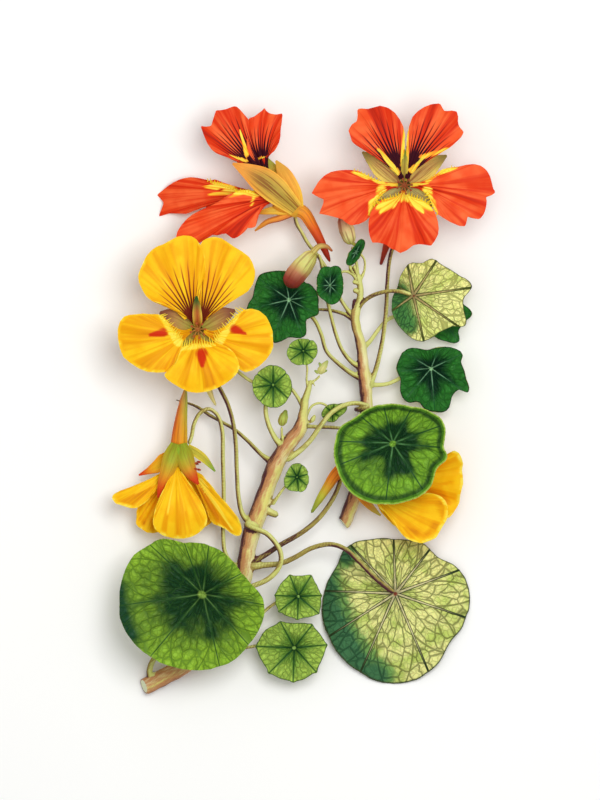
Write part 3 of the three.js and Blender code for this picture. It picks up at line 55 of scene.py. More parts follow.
class Value:
    """A value or colour in a finish. Arithmetic on it adds the node that works the answer out."""

    def __init__(self, finish, socket):
        self.finish, self.socket = finish, socket

    def worked(self, operation, *others):
        return self.finish.add("Math", dict(enumerate((self, *others))), operation=operation)

    def __add__(self, other):
        return self.worked("ADD", other)

    def __sub__(self, other):
        return self.worked("SUBTRACT", other)

    def __mul__(self, other):
        return self.worked("MULTIPLY", other)

    def __truediv__(self, other):
        return self.worked("DIVIDE", other)

    def __pow__(self, other):
        return self.worked("POWER", other)

    def __abs__(self):
        return self.worked("ABSOLUTE")

    def or_more(self, other):
        return self.worked("MAXIMUM", other)

    def rise(self, start, end):
        """0 at start and 1 at end, with soft ends. start may be the larger one."""
        sockets = {"Value": self, "From Min": start, "From Max": end}
        return self.finish.add("MapRange", sockets, "Result", interpolation_type="SMOOTHSTEP")


class Finish:
    """A surface finish put together node by node. Most methods add one node and return its value."""

    def __init__(self, name, **skin):
        self.material = bpy.data.materials.new(name)
        self.material.use_nodes = True
        self.tree = self.material.node_tree
        self.skin = self.tree.nodes["Principled BSDF"]
        for socket, value in skin.items():
            self.skin.inputs[socket.replace("_", " ")].default_value = value

    def add(self, kind, sockets, output=0, **settings):
        node = self.tree.nodes.new("ShaderNode" + kind)
        for name, value in settings.items():
            setattr(node, name, value)
        for socket, value in sockets.items():
            if isinstance(value, Value):
                self.tree.links.new(value.socket, node.inputs[socket])
            else:
                node.inputs[socket].default_value = value
        return Value(self, node.outputs[output])

    def trait(self, name, kind="Fac"):
        return self.add("Attribute", {}, kind, attribute_name=name)

    def place(self):
        return self.add("TexCoord", {}, "Object")

    def unrolled(self):
        return self.add("UVMap", {}, "UV", uv_map="UVMap")

    def scaled(self, vector, x, y, z=1.0):
        return self.add("VectorMath", {0: vector, 1: (x, y, z)}, operation="MULTIPLY")

    def warped(self, vector, by, amount):
        """The vector pushed about by a noise of that scale."""
        shift = self.add("TexNoise", {"Vector": vector, "Scale": by}, "Color")
        centred = self.add("VectorMath", {0: shift, 1: (0.5, 0.5, 0.5)}, operation="SUBTRACT")
        push = self.scaled(centred, amount, amount, 0)
        return self.add("VectorMath", {0: vector, 1: push}, operation="ADD")

    def speckle(self, vector, scale, detail=3.0):
        return self.add("TexNoise", {"Vector": vector, "Scale": scale, "Detail": detail}, "Fac")

    def net(self, vector):
        """Distance to the walls of a net of cells, in cells."""
        sockets = {"Vector": vector, "Scale": 1.0}
        return self.add("TexVoronoi", sockets, "Distance", feature="DISTANCE_TO_EDGE")

    def mix(self, share, under, over):
        under, over = [tone(colour) if isinstance(colour, str) else colour for colour in (under, over)]
        return self.add("Mix", {0: share, 6: under, 7: over}, 2, data_type="RGBA")

    def shaded(self, colour, amount, share):
        """The colour made darker and lighter by an amount as share runs from 0 to 1."""
        return self.add("HueSaturation", {"Color": colour, "Value": share * (2 * amount) + (1 - amount)})

    def done(self, colour, height, relief):
        """The material, with that colour, and with relief as deep as that many millimetres."""
        bump = self.add("Bump", {"Height": height, "Distance": relief * MM, "Strength": 1.0})
        self.tree.links.new(colour.socket, self.skin.inputs["Base Color"])
        self.tree.links.new(bump.socket, self.skin.inputs["Normal"])
        return self.material


def settled(bm, name, material):
    """The finished mesh as an object, in metres, smooth but for its sharp edges."""
    bmesh.ops.scale(bm, vec=(MM, MM, MM), verts=bm.verts[:])
    for face in bm.faces:
        face.smooth = True
    for edge in bm.edges:
        edge.smooth = edge.calc_face_angle(0.0) < SHARP
    mesh = bpy.data.meshes.new(name)
    bm.to_mesh(mesh)
    bm.free()
    mesh.materials.append(material)
    made = bpy.data.objects.new(name, mesh)
    bpy.context.scene.collection.objects.link(made)
    return made


TABLE_HALF = 1600
TABLE_DROP = 0.05  # the table's top is just below what lies on it

table_finish = Finish("pale_table", Roughness=0.8)
mottle = table_finish.speckle(table_finish.place(), 9.0)
table_paint = table_finish.done(table_finish.mix(mottle, "FBFBF8", "FFFFFD"), mottle, 0.05)
bm = bmesh.new()
bmesh.ops.create_grid(bm, x_segments=4, y_segments=4, size=TABLE_HALF)
bmesh.ops.translate(bm, vec=(0, 0, -TABLE_DROP), verts=bm.verts[:])
settled(bm, "table", table_paint)

ROOM_LIGHT = 0.48
room = bpy.data.worlds.new("soft_room")
room.use_nodes = True
room.node_tree.nodes["Background"].inputs["Color"].default_value = (1.0, 1.0, 1.0, 1.0)
room.node_tree.nodes["Background"].inputs["Strength"].default_value = ROOM_LIGHT
bpy.context.scene.world = room

LAMPS = {  # place and width in metres, power in watts
    "broad_lamp": ((0.17, 0.15, 0.8), 0.45, 4.1),
    "pale_lamp": ((-0.4, 0.05, 0.66), 0.6, 0.7),
}
for name, (place, width, power) in LAMPS.items():
    lamp = bpy.data.lights.new(name, "AREA")
    lamp.size = width
    lamp.energy = power
    holder = bpy.data.objects.new(name, lamp)
    holder.location = place
    holder.rotation_euler = (-Vector(place)).to_track_quat("-Z", "Y").to_euler()
    bpy.context.scene.collection.objects.link(holder)

VIEW_TALL = 0.28  # how much the view shows from top to bottom, in metres
VIEW_FROM = (-0.0012, 0.0002, 0.68)
camera = bpy.data.cameras.new("plate_view")
camera.type = "ORTHO"
camera.ortho_scale = VIEW_TALL
plate_view = bpy.data.objects.new("plate_view", camera)
plate_view.location = VIEW_FROM
bpy.context.scene.collection.objects.link(plate_view)
bpy.context.scene.camera = plate_view
bpy.context.scene.view_settings.view_transform = "Standard"

# ---------------------------------------------------------------- stems and stalks
# Two juicy shoots, each grown as one body: a thick stem, cut at its foot, with thin leaf and flower
# stalks, stubs and scars. Each is made of round stalks fused into one skin, and lies on its cut foot.
# The stalk of the cupped leaf takes one turn round the red stem, and so the shoots hold together.

RIBS = 5  # round a ribbed stalk
BLUNT = 0.7  # how long the round end of a stalk is, in radii
TUBE_STEP = 0.9  # between the rings of a stem or stalk
TRAIT_STEP = 0.5  # between the places from which the skin takes its traits
SKIN_CELL = 0.34  # size of the cells that the fused skin is made of
SINK = 0.7  # how far a stalk's end goes into what it carries
NEAREST = 10  # how many of the places with traits are looked at for each place on the skin
BARKED = 1.2  # a stem thicker than this has bark
BARK_RELIEF = 0.22
BARK_ACROSS, BARK_ALONG = 0.5, 0.35  # how close together its bumps are
GRAIN_STRETCH, GRAIN_SIZE = 0.22, 1.6  # the grain's fibres run lengthwise
FOOT_REACH = 8  # how far from the cut foot the cut reaches
CUT_RIM = 0.35  # width of the skin's rim round the cut pith
STEM_SIDES, STALK_SIDES = 20, 12
LIT_SIDE = Vector((0.72, 0.42, 0.3))  # the side the light comes from; the stalks are painted in shade on the side away from it


class Route:
    """A smooth line through given points [x, y, z] or [x, y, z, radius]. A place on it runs from 0 to 1,
    with even steps from point to point."""

    def __init__(self, points):
        self.spots = [Vector(point[:3]) for point in points]
        self.radii = [point[3] for point in points if len(point) > 3]
        self.last = len(points) - 1
        self.steps = 24 * self.last
        trail = [self.at(i / self.steps) for i in range(self.steps + 1)]
        self.run = [0.0]
        for a, b in zip(trail, trail[1:]):
            self.run.append(self.run[-1] + (b - a).length)
        self.length = self.run[-1]

    def between(self, place):
        """The point before a place, and how far on it is towards the next one."""
        spot = min(max(place, 0.0), 1.0) * self.last
        i = min(int(spot), self.last - 1)
        return i, spot - i

    def at(self, place):
        i, w = self.between(place)
        a, b = self.spots[i], self.spots[i + 1]
        before = self.spots[i - 1] if i else 2 * a - b
        after = self.spots[i + 2] if i + 2 <= self.last else 2 * b - a
        g0, g1, g2 = [(q - p).length ** 0.5 for p, q in ((before, a), (a, b), (b, after))]
        leave = ((a - before) / g0 - (b - before) / (g0 + g1) + (b - a) / g1) * g1
        arrive = ((b - a) / g1 - (after - a) / (g1 + g2) + (after - b) / g2) * g1
        curve = a + leave * w + (3 * (b - a) - 2 * leave - arrive) * w ** 2
        return curve + (2 * (a - b) + leave + arrive) * w ** 3

    def heading(self, place):
        return (self.at(place + 1e-4) - self.at(place - 1e-4)).normalized()

    def radius(self, place):
        i, w = self.between(place)
        return self.radii[i] + (self.radii[i + 1] - self.radii[i]) * w

    def place(self, share):
        """The place at that share of the line's length."""
        goal = min(max(share, 0.0), 1.0) * self.length
        i = min(max(bisect.bisect_left(self.run, goal), 1), self.steps)
        part = (goal - self.run[i - 1]) / (self.run[i] - self.run[i - 1])
        return (i - 1 + part) / self.steps


def rings_along(route, step):
    """Evenly spaced rings on a route. Each is its middle, two directions across, radius and share of the
    length."""
    line = Route(route)
    count = max(6, round(line.length / step))
    across = Vector((0, 0, 1)) if abs(line.heading(0).z) < 0.9 else Vector((1, 0, 0))
    rings = []
    for i in range(count + 1):
        place = line.place(i / count)
        heading = line.heading(place)
        across = (across - heading * across.dot(heading)).normalized()
        rings.append((line.at(place), across, heading.cross(across), line.radius(place), i / count))
    return rings


def tube(bm, route, sides, step, ribs=0.0, hollow=0.0, wall=0.5, paint=None):
    """A round stalk along a route, closed at both ends. ribs makes it ribbed lengthwise, and hollow is how
    much of it is open from its far end. paint(vert, around, along) sets a place's traits."""
    rings = rings_along(route, step)
    length = Route(route).length
    rows = []
    for ring in rings:
        radius, share = ring[3:]
        end = share if hollow else min(share, 1 - share)
        end *= length / (BLUNT * radius + 1e-6)
        rows.append((ring, radius * math.sqrt(1 - (1 - min(end, 1)) ** 2)))
    rows += [(ring, ring[3] - wall) for ring in reversed(rings) if ring[4] > 1 - hollow]
    if hollow:
        rows.append((rows[-1][0], 0.0))
    made = bmesh.ops.create_grid(bm, x_segments=sides, y_segments=len(rows) - 1, size=0.5)["verts"]
    for vert in made:
        around = vert.co.x + 0.5
        (middle, up, aside, _, share), radius = rows[round((vert.co.y + 0.5) * (len(rows) - 1))]
        angle = 2 * math.pi * around
        radius *= 1 + ribs * math.cos(RIBS * angle)
        vert.co = middle + (up * math.cos(angle) + aside * math.sin(angle)) * radius
        if paint:
            paint(vert, around, share)
    bmesh.ops.remove_doubles(bm, verts=made, dist=1e-4)


YELLOW_STEM = [
    [-57, -101, 2.5, 2.9], [-50, -97.2, 2.5, 3], [-42, -92.8, 3.1, 3.1], [-31, -82, 4.8, 3.2],
    [-24.3, -71, 6.4, 3.2], [-20.9, -60.5, 7.6, 3.3], [-19.4, -51.5, 8.6, 2.9], [-17.6, -44.5, 9.3, 3.1],
    [-14.8, -37, 10, 3.2], [-12.6, -30, 10.7, 2.8], [-10.6, -24.5, 11.3, 3.1], [-7.6, -18.5, 12, 2.8],
    [-4.4, -14, 12.7, 2.7], [-1.3, -10, 13.4, 2.5], [-0.1, -5, 14.2, 1.7], [0.6, 0, 15, 1.35],
    [1.9, 4.5, 15.8, 1.05], [2.6, 7.4, 16.4, 0.7]]
YELLOW_STALKS = {
    "side_shoot": [[-53.5, -98.3, 3.2, 1.3], [-53.8, -94, 3.8, 1.1], [-51.5, -89.5, 4.8, 1],
        [-44, -86.3, 7, 0.9], [-36.5, -84.5, 9.4, 0.85], [-29.5, -82.8, 9.4, 0.8], [-22, -80.5, 9, 0.65],
        [-16.4, -77.2, 8.8, 0.6], [-13.2, -73.4, 8.4, 0.6], [-8, -70, 7.9, 0.6], [-2, -68.6, 8.1, 0.6]],
    "lower_leaf": [[-30.5, -83.1, 9.4, 0.7], [-26, -86.4, 8.4, 0.65], [-20.5, -86.5, 7.3, 0.6],
        [-15, -85.7, 6.5, 0.6], [-9, -86.2, 5.5, 0.6], [-3.4, -86.5, 5.8, 0.6]],
    "back_leaf": [[-20.6, -58.4, 7.8, 1.7], [-14.5, -57.7, 8.3, 1.15], [-8, -57, 8.6, 1],
        [-3, -54.9, 9.1, 0.95], [3, -51.6, 10, 0.9], [9.5, -50.3, 10.8, 0.9], [14.5, -51.9, 11.4, 0.9],
        [19.5, -56.4, 11.6, 0.85], [25, -62, 11.7, 0.85], [29.3, -65.6, 11.5, 0.9],
        [31.4, -67, 10.8, 0.95]],
    "side_flower": [[-18.6, -56.6, 8, 1.2], [-14, -54.4, 8.4, 1], [-8.5, -50.8, 9, 0.95],
        [0, -45.8, 9.8, 0.9], [6, -40.5, 10, 0.9], [10.6, -33.8, 9.8, 0.85], [12.6, -29, 9.8, 0.85],
        [13.3, -25.2, 10.2, 0.9]],
    "hanging_flower": [[-21.2, -59.4, 7.4, 1.4], [-25, -57, 7.2, 0.9], [-27.4, -53.3, 7, 0.8],
        [-28.1, -47, 7, 0.8], [-27.9, -34, 7, 0.8], [-28.2, -20, 7.5, 0.8], [-28.5, -10, 8.1, 0.8],
        [-30.2, -5, 8.4, 0.75], [-33.2, -2.9, 8.7, 0.75], [-36.4, -4.6, 8.8, 0.75],
        [-38.4, -8.5, 8.9, 0.75], [-39.1, -12.3, 9, 0.75], [-40, -15, 9.6, 0.75]],
    "front_flower": [[-18.4, -43.4, 9.2, 1.3], [-21.3, -39.8, 9.3, 0.95], [-22.7, -34, 9.3, 0.85],
        [-23.3, -25, 9.3, 0.8], [-23.7, -15, 9.2, 0.8], [-24.6, -8, 9, 0.8], [-26.6, -1, 8.6, 0.8],
        [-29.6, 5, 8, 0.8], [-32.6, 12, 7.6, 0.8], [-35.4, 19, 8.2, 0.85], [-36.7, 23.2, 9.9, 0.9]],
    "loop": [[-20.1, -43.4, 9.8, 1.1], [-19.4, -43.9, 12.2, 1], [-16.8, -44.9, 13.4, 1],
        [-13, -46.5, 13.7, 0.95], [-10.2, -49.3, 13.8, 0.95], [-8.3, -52.4, 13.8, 0.95],
        [-7.8, -55.6, 13.7, 0.95], [-8.9, -58.9, 13.4, 0.95], [-12, -62.2, 13.1, 0.95],
        [-17, -64.6, 13, 0.95], [-24, -66.4, 13.3, 0.95], [-30.5, -67.3, 14.1, 1], [-34.8, -67.7, 15.3, 1]],
    "bare_stalk": [[-10.6, -21.9, 11.2, 1.5], [-14.6, -19, 9.9, 0.85], [-19.6, -14, 8, 0.75],
        [-24, -10.2, 6.6, 0.7], [-28, -7.8, 6, 0.65], [-33, -5, 5.9, 0.65], [-36.5, -2.6, 5.9, 0.6],
        [-39.8, -1.1, 6, 0.5], [-44.6, 0.2, 6, 0.25]],
    "beside_leaf_j": [[-7.2, -16.5, 12.2, 1.4], [-9.8, -13.3, 12.5, 1], [-12.2, -8.4, 13, 0.9],
        [-13.2, -3.6, 13.6, 0.85], [-12.6, 1.2, 14.4, 0.8], [-10.9, 4.7, 15.1, 0.8]],
    "small_bud": [[-7.2, -14.4, 12.4, 0.7], [-7.6, -11.8, 13.6, 0.5], [-7.6, -9.4, 14, 0.5]],
    "twining_leaf": [[-6.4, -21, 12, 1.3], [-2.6, -18.6, 12.8, 1.05], [2.2, -14.2, 13.1, 0.95],
        [6.4, -8.2, 13.3, 0.9], [10.2, -3.9, 13.1, 0.9], [14.6, -1.5, 12.5, 0.85],
        [18.6, -0.9, 11.9, 0.85]],
    "leaf_l": [[-11.2, -36.6, 10.8, 1], [-9.1, -33.8, 12.4, 0.6], [-6.6, -30.4, 13.2, 0.5],
        [-2.6, -27.1, 13.6, 0.5]],
    "scar": [[-13.5, -38.3, 10.2, 1.6], [-10.8, -39.4, 10.6, 1.35], [-9.2, -39.9, 10.8, 1.2]],
    "hidden_bud_right": [[-0.6, -8.6, 13.6, 1.1], [3, -9.1, 11.9, 0.75], [8, -9.3, 10.6, 0.7],
        [12.6, -9.6, 10.2, 0.65], [14.6, -9.8, 10.4, 0.65]],
    "leaf_m": [[0.4, -6.8, 13.8, 0.8], [1.7, -4, 12.6, 0.5], [3.2, -1.7, 11.4, 0.5],
        [6.2, -0.9, 10.3, 0.5], [9.2, -2.6, 9.3, 0.5]],
    "curled_bud": [[0.4, -7.6, 14, 0.5], [2.1, -7.7, 14.1, 0.4], [3.2, -6.7, 14.3, 1],
        [3.9, -5.3, 14.5, 0.5]],
    "hidden_bud_left": [[-0.2, -2.2, 14.4, 0.9], [-2.2, 1.4, 14.1, 0.7], [-4.9, 4.6, 13.6, 0.65],
        [-11, 6.4, 13, 0.6], [-17.6, 6.5, 12.9, 0.65], [-21, 8.6, 13.3, 0.65], [-24, 11.1, 13.8, 0.65]],
    "leaf_k": [[1.7, 3.9, 15.6, 0.65], [1.1, 7, 16.6, 0.45], [1.3, 11, 17.3, 0.45],
        [0.5, 16.2, 17.9, 0.45]],
    "tip_bud": [[2.4, 6.4, 16.2, 0.5], [4.4, 7.3, 16.5, 0.45], [5.6, 8.6, 16.7, 0.5]],
    "stipule": [[2.3, 5.6, 16.2, 0.5], [3.3, 6.2, 17, 0.4], [3.9, 5.2, 17.3, 0.2]],
}
RED_STEM = [
    [13.6, -44.6, 2.1, 2.5], [16.2, -38, 2.8, 2.5], [18.4, -31.5, 4, 2.5], [20.6, -20, 5.8, 2.4],
    [22.1, -8, 7.4, 2.3], [22, 0, 8.4, 2.2], [21.7, 5, 9, 2.3], [20.9, 11.5, 9.8, 2.2],
    [20.5, 17, 10.5, 1.8], [19.6, 21.5, 11.1, 1.75], [18.4, 26, 11.7, 1.65], [18.2, 30.5, 12.2, 1.7],
    [19.6, 35, 12.8, 1.15], [20, 39, 13.4, 1.1], [19.3, 42.6, 14, 1.05], [18.9, 44.4, 14.4, 0.7]]
RED_STALKS = {
    "front_flower": [[22.4, 3.6, 9, 1.3], [24.7, 9, 9.3, 0.95], [26.4, 15, 9.6, 0.85],
        [28.1, 24, 9.9, 0.8], [29, 33, 10, 0.8], [29.4, 42, 10, 0.75], [30.6, 51.4, 10, 0.75],
        [34.6, 61.5, 9.6, 0.8], [36.9, 68.8, 9.2, 0.85], [36, 73.6, 9.8, 0.9]],
    "back_leaf_d": [[18.9, 32, 12.4, 1], [21, 34.6, 13.6, 0.8], [24.5, 36.9, 14.8, 0.8],
        [29.3, 38.2, 16, 0.75], [33.6, 38.2, 17.6, 0.75], [37.4, 37.2, 17.6, 0.8]],
    "leaf_e": [[20.4, 18, 10.3, 1.2], [23.4, 20.9, 9.2, 0.8], [26.2, 24.8, 7.6, 0.75],
        [29.6, 28.4, 6.4, 0.75], [34, 30, 4.2, 0.7], [40, 30.4, 2.9, 0.7], [46.2, 29.6, 3.1, 0.7]],
    "leaf_f": [[22, 5.8, 8.8, 1.3], [25.4, 5.5, 8, 0.85], [29.6, 5.9, 6.8, 0.75], [33.6, 7.7, 6, 0.75],
        [39, 10, 5.4, 0.75], [44.2, 11.2, 6.2, 0.8]],
    "leaf_a": [[20.6, 7.6, 9.2, 1.3], [16.4, 9.8, 9.8, 0.95], [12.2, 13, 10.2, 0.8], [8, 17.4, 10.6, 0.75],
        [6.3, 23, 11, 0.75], [3.6, 28.6, 11.5, 0.75], [-1, 32.6, 11.9, 0.8], [-4.4, 35, 12.5, 0.8]],
    "leaning_bud": [[20.2, 11.4, 9.9, 1.3], [17, 13.4, 10.5, 0.9], [13.6, 17.6, 11.2, 0.75],
        [11.3, 23.4, 12, 0.75], [9.8, 29, 12.8, 0.7], [8.2, 36, 13.8, 0.7], [7, 43, 15.6, 0.7],
        [6.2, 48.4, 17.6, 0.7], [5.4, 50.9, 18.9, 0.7]],
    "bare_stalk": [[17.6, 28.4, 11.8, 1.1], [14.4, 30.2, 11.2, 0.75], [10.4, 31.4, 10.6, 0.65],
        [5.4, 31.8, 10, 0.55], [0, 30.4, 9.8, 0.4], [-4, 28.2, 10, 0.2]],
    "hanging_flower": [[17.9, 28.8, 12, 1.1], [15, 32.4, 12, 0.75], [12.6, 36.2, 12, 0.7],
        [10.2, 41.4, 12, 0.7], [7.8, 46.6, 12, 0.7], [4.6, 51.2, 11.8, 0.7], [1.6, 55, 11.4, 0.7],
        [-0.9, 59.4, 11, 0.7], [-2.4, 62, 10.9, 0.75], [-2.9, 64.5, 11.2, 0.75]],
    "leaf_b": [[19, 41.8, 13.9, 0.8], [17, 44.3, 14.6, 0.6], [14, 45.2, 15.3, 0.5], [11.4, 43, 16, 0.5],
        [9.6, 40.7, 16.6, 0.55]],
    "upright_bud": [[19, 43.4, 14.2, 0.75], [18.8, 46.6, 14.7, 0.6], [18, 50.6, 15.2, 0.6],
        [17.1, 53.6, 15.4, 0.65]],
    "leaf_c": [[19.5, 41.6, 13.8, 0.8], [21.3, 45.4, 14.4, 0.5], [21.3, 49.4, 15.2, 0.45],
        [19.6, 51.6, 16, 0.5]],
    "scar_upper": [[19.6, 38, 13.2, 0.9], [18.4, 38.4, 13.4, 1], [17.9, 38.6, 13.5, 0.9]],
    "scar_tip": [[19.4, 41.2, 13.8, 0.9], [18.2, 41.4, 14, 0.9], [17.7, 41.5, 14.1, 0.7]],
    "stub": [[18.4, 29.8, 12.2, 1.2], [17.7, 33.2, 12.6, 0.8], [17.9, 35.3, 12.9, 0.6]],
    "tiny_bud_left": [[18.6, 43.6, 14.2, 0.4], [17.2, 45.1, 15.2, 0.4], [16.5, 46.4, 15.5, 0.9],
        [16.3, 47.3, 15.6, 0.3]],
    "tiny_bud_right": [[18.8, 43.8, 14.3, 0.4], [18.2, 45.4, 15.8, 0.4], [17.9, 46.5, 16.4, 0.8],
        [17.9, 47.3, 16.5, 0.3]],
}

# The twining stalk takes one turn round the red stem. The turn starts at one place on the stem's route,
# counted in points, and goes on towards the other.
TURN_FROM, TURN_TOWARDS = 4.75, 4.1
TURN_RADIUS, TURN_RISE, TURN_STEPS = 3.6, 4.3, 10
TURN_START, TURN_ANGLE = -0.35, 2 * math.pi + 0.5
TURN_STALK = 0.85  # radius of the stalk
red_line = Route(RED_STEM)
turn_start = red_line.at(TURN_FROM / red_line.last)
down = (red_line.at(TURN_TOWARDS / red_line.last) - turn_start).normalized()
above = (Vector((0, 0, 1)) - down * down.z).normalized()
beside = above.cross(down)
twining = YELLOW_STALKS["twining_leaf"]
for i in range(TURN_STEPS + 1):
    angle = TURN_START + i / TURN_STEPS * TURN_ANGLE
    spot = turn_start + down * (TURN_RISE * i / TURN_STEPS)
    spot += (above * math.cos(angle) - beside * math.sin(angle)) * TURN_RADIUS
    twining.append([*spot, TURN_STALK])
twining += [[27.6, -10.4, 14.5, TURN_STALK], [30.2, -13.7, 18.6, 0.9], [31.1, -14.8, 21.5, 1]]

# How dark each stalk is flushed at its two ends, where it isn't plain green.
FLUSH = {
    "front_flower": (0.2, 1.2), "back_leaf": (0.3, 0.9), "loop": (0.2, 0.4), "back_leaf_d": (0.7, 0.2),
    "leaf_a": (0.4, 0.3), "bare_stalk": (0.4, 0.9), "twining_leaf": (0.1, 0.5), "side_flower": (0.9, 0.5),
    "stub": (1.2, 1.6), "scar": (0.0, 0.3), "hidden_bud_right": (0.6, 0.6), "side_shoot": (0.1, 0.5),
    "lower_leaf": (0.4, 0.5), "leaning_bud": (0.4, 0.2), "hanging_flower": (0.2, 0.3),
}

skin = Finish("stem_skin", Roughness=0.45, Specular_IOR_Level=0.15, Subsurface_Weight=0.05,
              Subsurface_Scale=0.001)
grain = skin.trait("grain", "Vector")
fibre = skin.speckle(grain, 0.9, 4.0)
cloud = skin.speckle(grain, 0.16, 2.0)
thick = skin.trait("girth").rise(1.2, 2.2)
thin_tone = skin.mix(cloud, "BCC254", "E8E8A0")
lit = skin.mix(thick, thin_tone, skin.mix(cloud.rise(0.35, 0.65), "DED87A", "F2EAB8"))
# painted shade: the darker side away from LIT_SIDE, deeper on thick stems, adds to the stalks' own flush and
# grain and turns the colour purple-brown
shade = skin.trait("painted_shade_side") + skin.trait("flush") + fibre * 1.1 + cloud * 0.8 + thick * 0.34 - 1.11
colour = skin.mix(shade.rise(-0.5, 0.1), lit, skin.mix(thick, "9C8C44", "BC8454"))
colour = skin.mix(shade.rise(0.12, 0.55), colour, "4E262C")
stem_skin = skin.done(skin.shaded(colour, 0.12, fibre), fibre, 0.12)

pith = Finish("cut_pith", Roughness=0.6, Subsurface_Weight=0.1, Subsurface_Scale=0.002)
pores = pith.speckle(pith.place(), 2600)
cut_pith = pith.done(pith.mix(pores, "C8D0A0", "F0F2D0"), pores, 0.15)


def fused(bm):
    """The skin round all the stalks in a mesh, as one smooth closed mesh."""
    mesh = bpy.data.meshes.new("stalks")
    bm.to_mesh(mesh)
    bm.free()
    rough = bpy.data.objects.new("stalks", mesh)
    bpy.context.scene.collection.objects.link(rough)
    fuse = rough.modifiers.new("fuse", "REMESH")
    fuse.mode = "VOXEL"
    fuse.voxel_size = SKIN_CELL
    ease = rough.modifiers.new("ease", "SMOOTH")
    ease.factor = 0.5
    ease.iterations = 3
    graph = bpy.context.evaluated_depsgraph_get()
    whole = bmesh.new()
    whole.from_mesh(bpy.data.meshes.new_from_object(rough.evaluated_get(graph)))
    bpy.data.objects.remove(rough)
    return whole


def shoot(name, stem, stalks, cut_at, cut_facing):
    """One shoot's stem and stalks fused into one skin, with its foot cut off flat."""
    routes = [("stem", stem, STEM_SIDES)]
    for stalk, route in stalks.items():
        end = Route(route)
        tip = end.at(1) + end.heading(0.999) * SINK
        routes.append((stalk, route[:-1] + [[*tip, route[-1][3]]], STALK_SIDES))
    bm = bmesh.new()
    samples = []
    for stalk, route, sides in routes:
        tube(bm, route, sides, TUBE_STEP)
        start, end = FLUSH.get(stalk, (0.0, 0.0))
        run = Route(route).length
        for middle, up, aside, radius, share in rings_along(route, TRAIT_STEP):
            samples.append((middle, up, aside, radius, share * run, start + (end - start) * share))
    bm = fused(bm)

    near = kdtree.KDTree(len(samples))
    for i, sample in enumerate(samples):
        near.insert(sample[0], i)
    near.balance()
    layers = {kind: bm.verts.layers.float.new(kind) for kind in ("girth", "painted_shade_side", "flush")}
    grain_layer = bm.verts.layers.float_vector.new("grain")
    for vert in bm.verts:
        found = min(near.find_n(vert.co, NEAREST), key=lambda hit: hit[2] - samples[hit[1]][3])
        middle, up, aside, radius, run, flush = samples[found[1]]
        out = vert.co - middle
        vert[layers["girth"]] = radius
        # painted shade: how far a place on the skin faces away from the lit side
        vert[layers["painted_shade_side"]] = -LIT_SIDE.dot(out) / max(out.length, 1e-6)
        vert[layers["flush"]] = flush
        vert[grain_layer] = Vector((out.dot(up), out.dot(aside), run * GRAIN_STRETCH)) * GRAIN_SIZE
        if radius > BARKED:
            bump = noise.noise(Vector((*out.xy * BARK_ACROSS, run * BARK_ALONG)))
            vert.co += out.normalized() * BARK_RELIEF * bump
        vert.co.z = max(vert.co.z, 0.0)
    foot = {vert for vert in bm.verts if (vert.co - Vector(cut_at)).length < FOOT_REACH}
    geom = [*foot, *(part for part in (*bm.edges, *bm.faces) if foot.issuperset(part.verts))]
    cut = bmesh.ops.bisect_plane(bm, geom=geom, plane_co=cut_at, plane_no=cut_facing, clear_outer=True)
    rim = [edge for edge in cut["geom_cut"] if isinstance(edge, bmesh.types.BMEdge)]
    face = bmesh.ops.holes_fill(bm, edges=rim, sides=0)["faces"]
    bmesh.ops.inset_region(bm, faces=face, thickness=CUT_RIM)
    for one in face:
        one.material_index = 1
    piece = settled(bm, name, stem_skin)
    piece.data.materials.append(cut_pith)
    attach(piece, "root")
    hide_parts(name + "_stem")


shoot("yellow_shoot", YELLOW_STEM, YELLOW_STALKS, (-55.9, -100.2, 2.5), (-0.88, -0.3, 0.36))
shoot("red_shoot", RED_STEM, RED_STALKS, (14.2, -43.2, 2.5), (-0.78, -0.62, 0.1))

# ---------------------------------------------------------------- leaves
# Round blades with their stalk in the middle. Main veins run from there to the margin, sunk a little on
# the face and raised behind, with a fine net between them. Two leaves show their pale backs.

BLADE = 0.5  # thickness between the veins
RIB = 0.5  # how far a main vein stands out behind, next to the stalk
RIB_HALF = 0.55  # half its width
GROOVE = 0.2  # how far it is sunk in the face
RIB_TAPER = 0.65  # how much of both is gone at the margin
RIM_BEND = 0.97  # how far out the back starts to close up to the face
RIM_CLOSE = 0.4  # how far it has closed up at the margin, in thicknesses
RINGS_OUTWARDS, STEPS_TO_VEINS = 0.85, 0.11  # how the steps of the mesh are spread
NICK_NARROW = 9  # how narrow the notch at the end of a vein is
DIP_NARROW = 9  # how narrow the hollow over the stalk is
MARGIN_FULL = 0.8  # how full the margin swings between two of its set radii
MARGIN_ROUGH, MARGIN_GRAIN = 0.12, 0.8  # fine unevenness of the margin, and how close together its bumps are
UNEVEN, UNEVEN_GRAIN = 0.25, 0.28  # the same for the soft unevenness of the whole blade
CHART_ROUND = 0.6  # how far out the net of veins has its true size, as a share of the widest radius


class LeafFinish(Finish):
    """What the finishes of a leaf's face and back share: its traits, soft clouds, and two nets of fine veins.
    net is the size of the larger cells, across and outwards, in millimetres."""

    def __init__(self, name, net, warp, cloud_scale, **skin):
        super().__init__(name, Subsurface_Weight=0.04, Subsurface_Scale=0.001, **skin)
        self.out, self.vein = self.trait("out"), self.trait("vein")
        chart = self.warped(self.unrolled(), 0.35, warp)
        self.cells = self.net(self.scaled(chart, 1 / net[0], 1 / net[1]))
        self.small_cells = self.net(self.scaled(chart, 2.3 / net[0], 2.6 / net[1]))
        self.cloud = self.speckle(self.place(), cloud_scale)
        self.dapple = self.speckle(self.place(), 420)

    def forks(self, from_out, spread, edges, start):
        """The side veins into which the main veins part, from that far out."""
        off_fork = abs(self.trait("between") - (self.out - from_out) * spread)
        return (off_fork * self.trait("gap")).rise(*edges) * self.out.rise(*start)


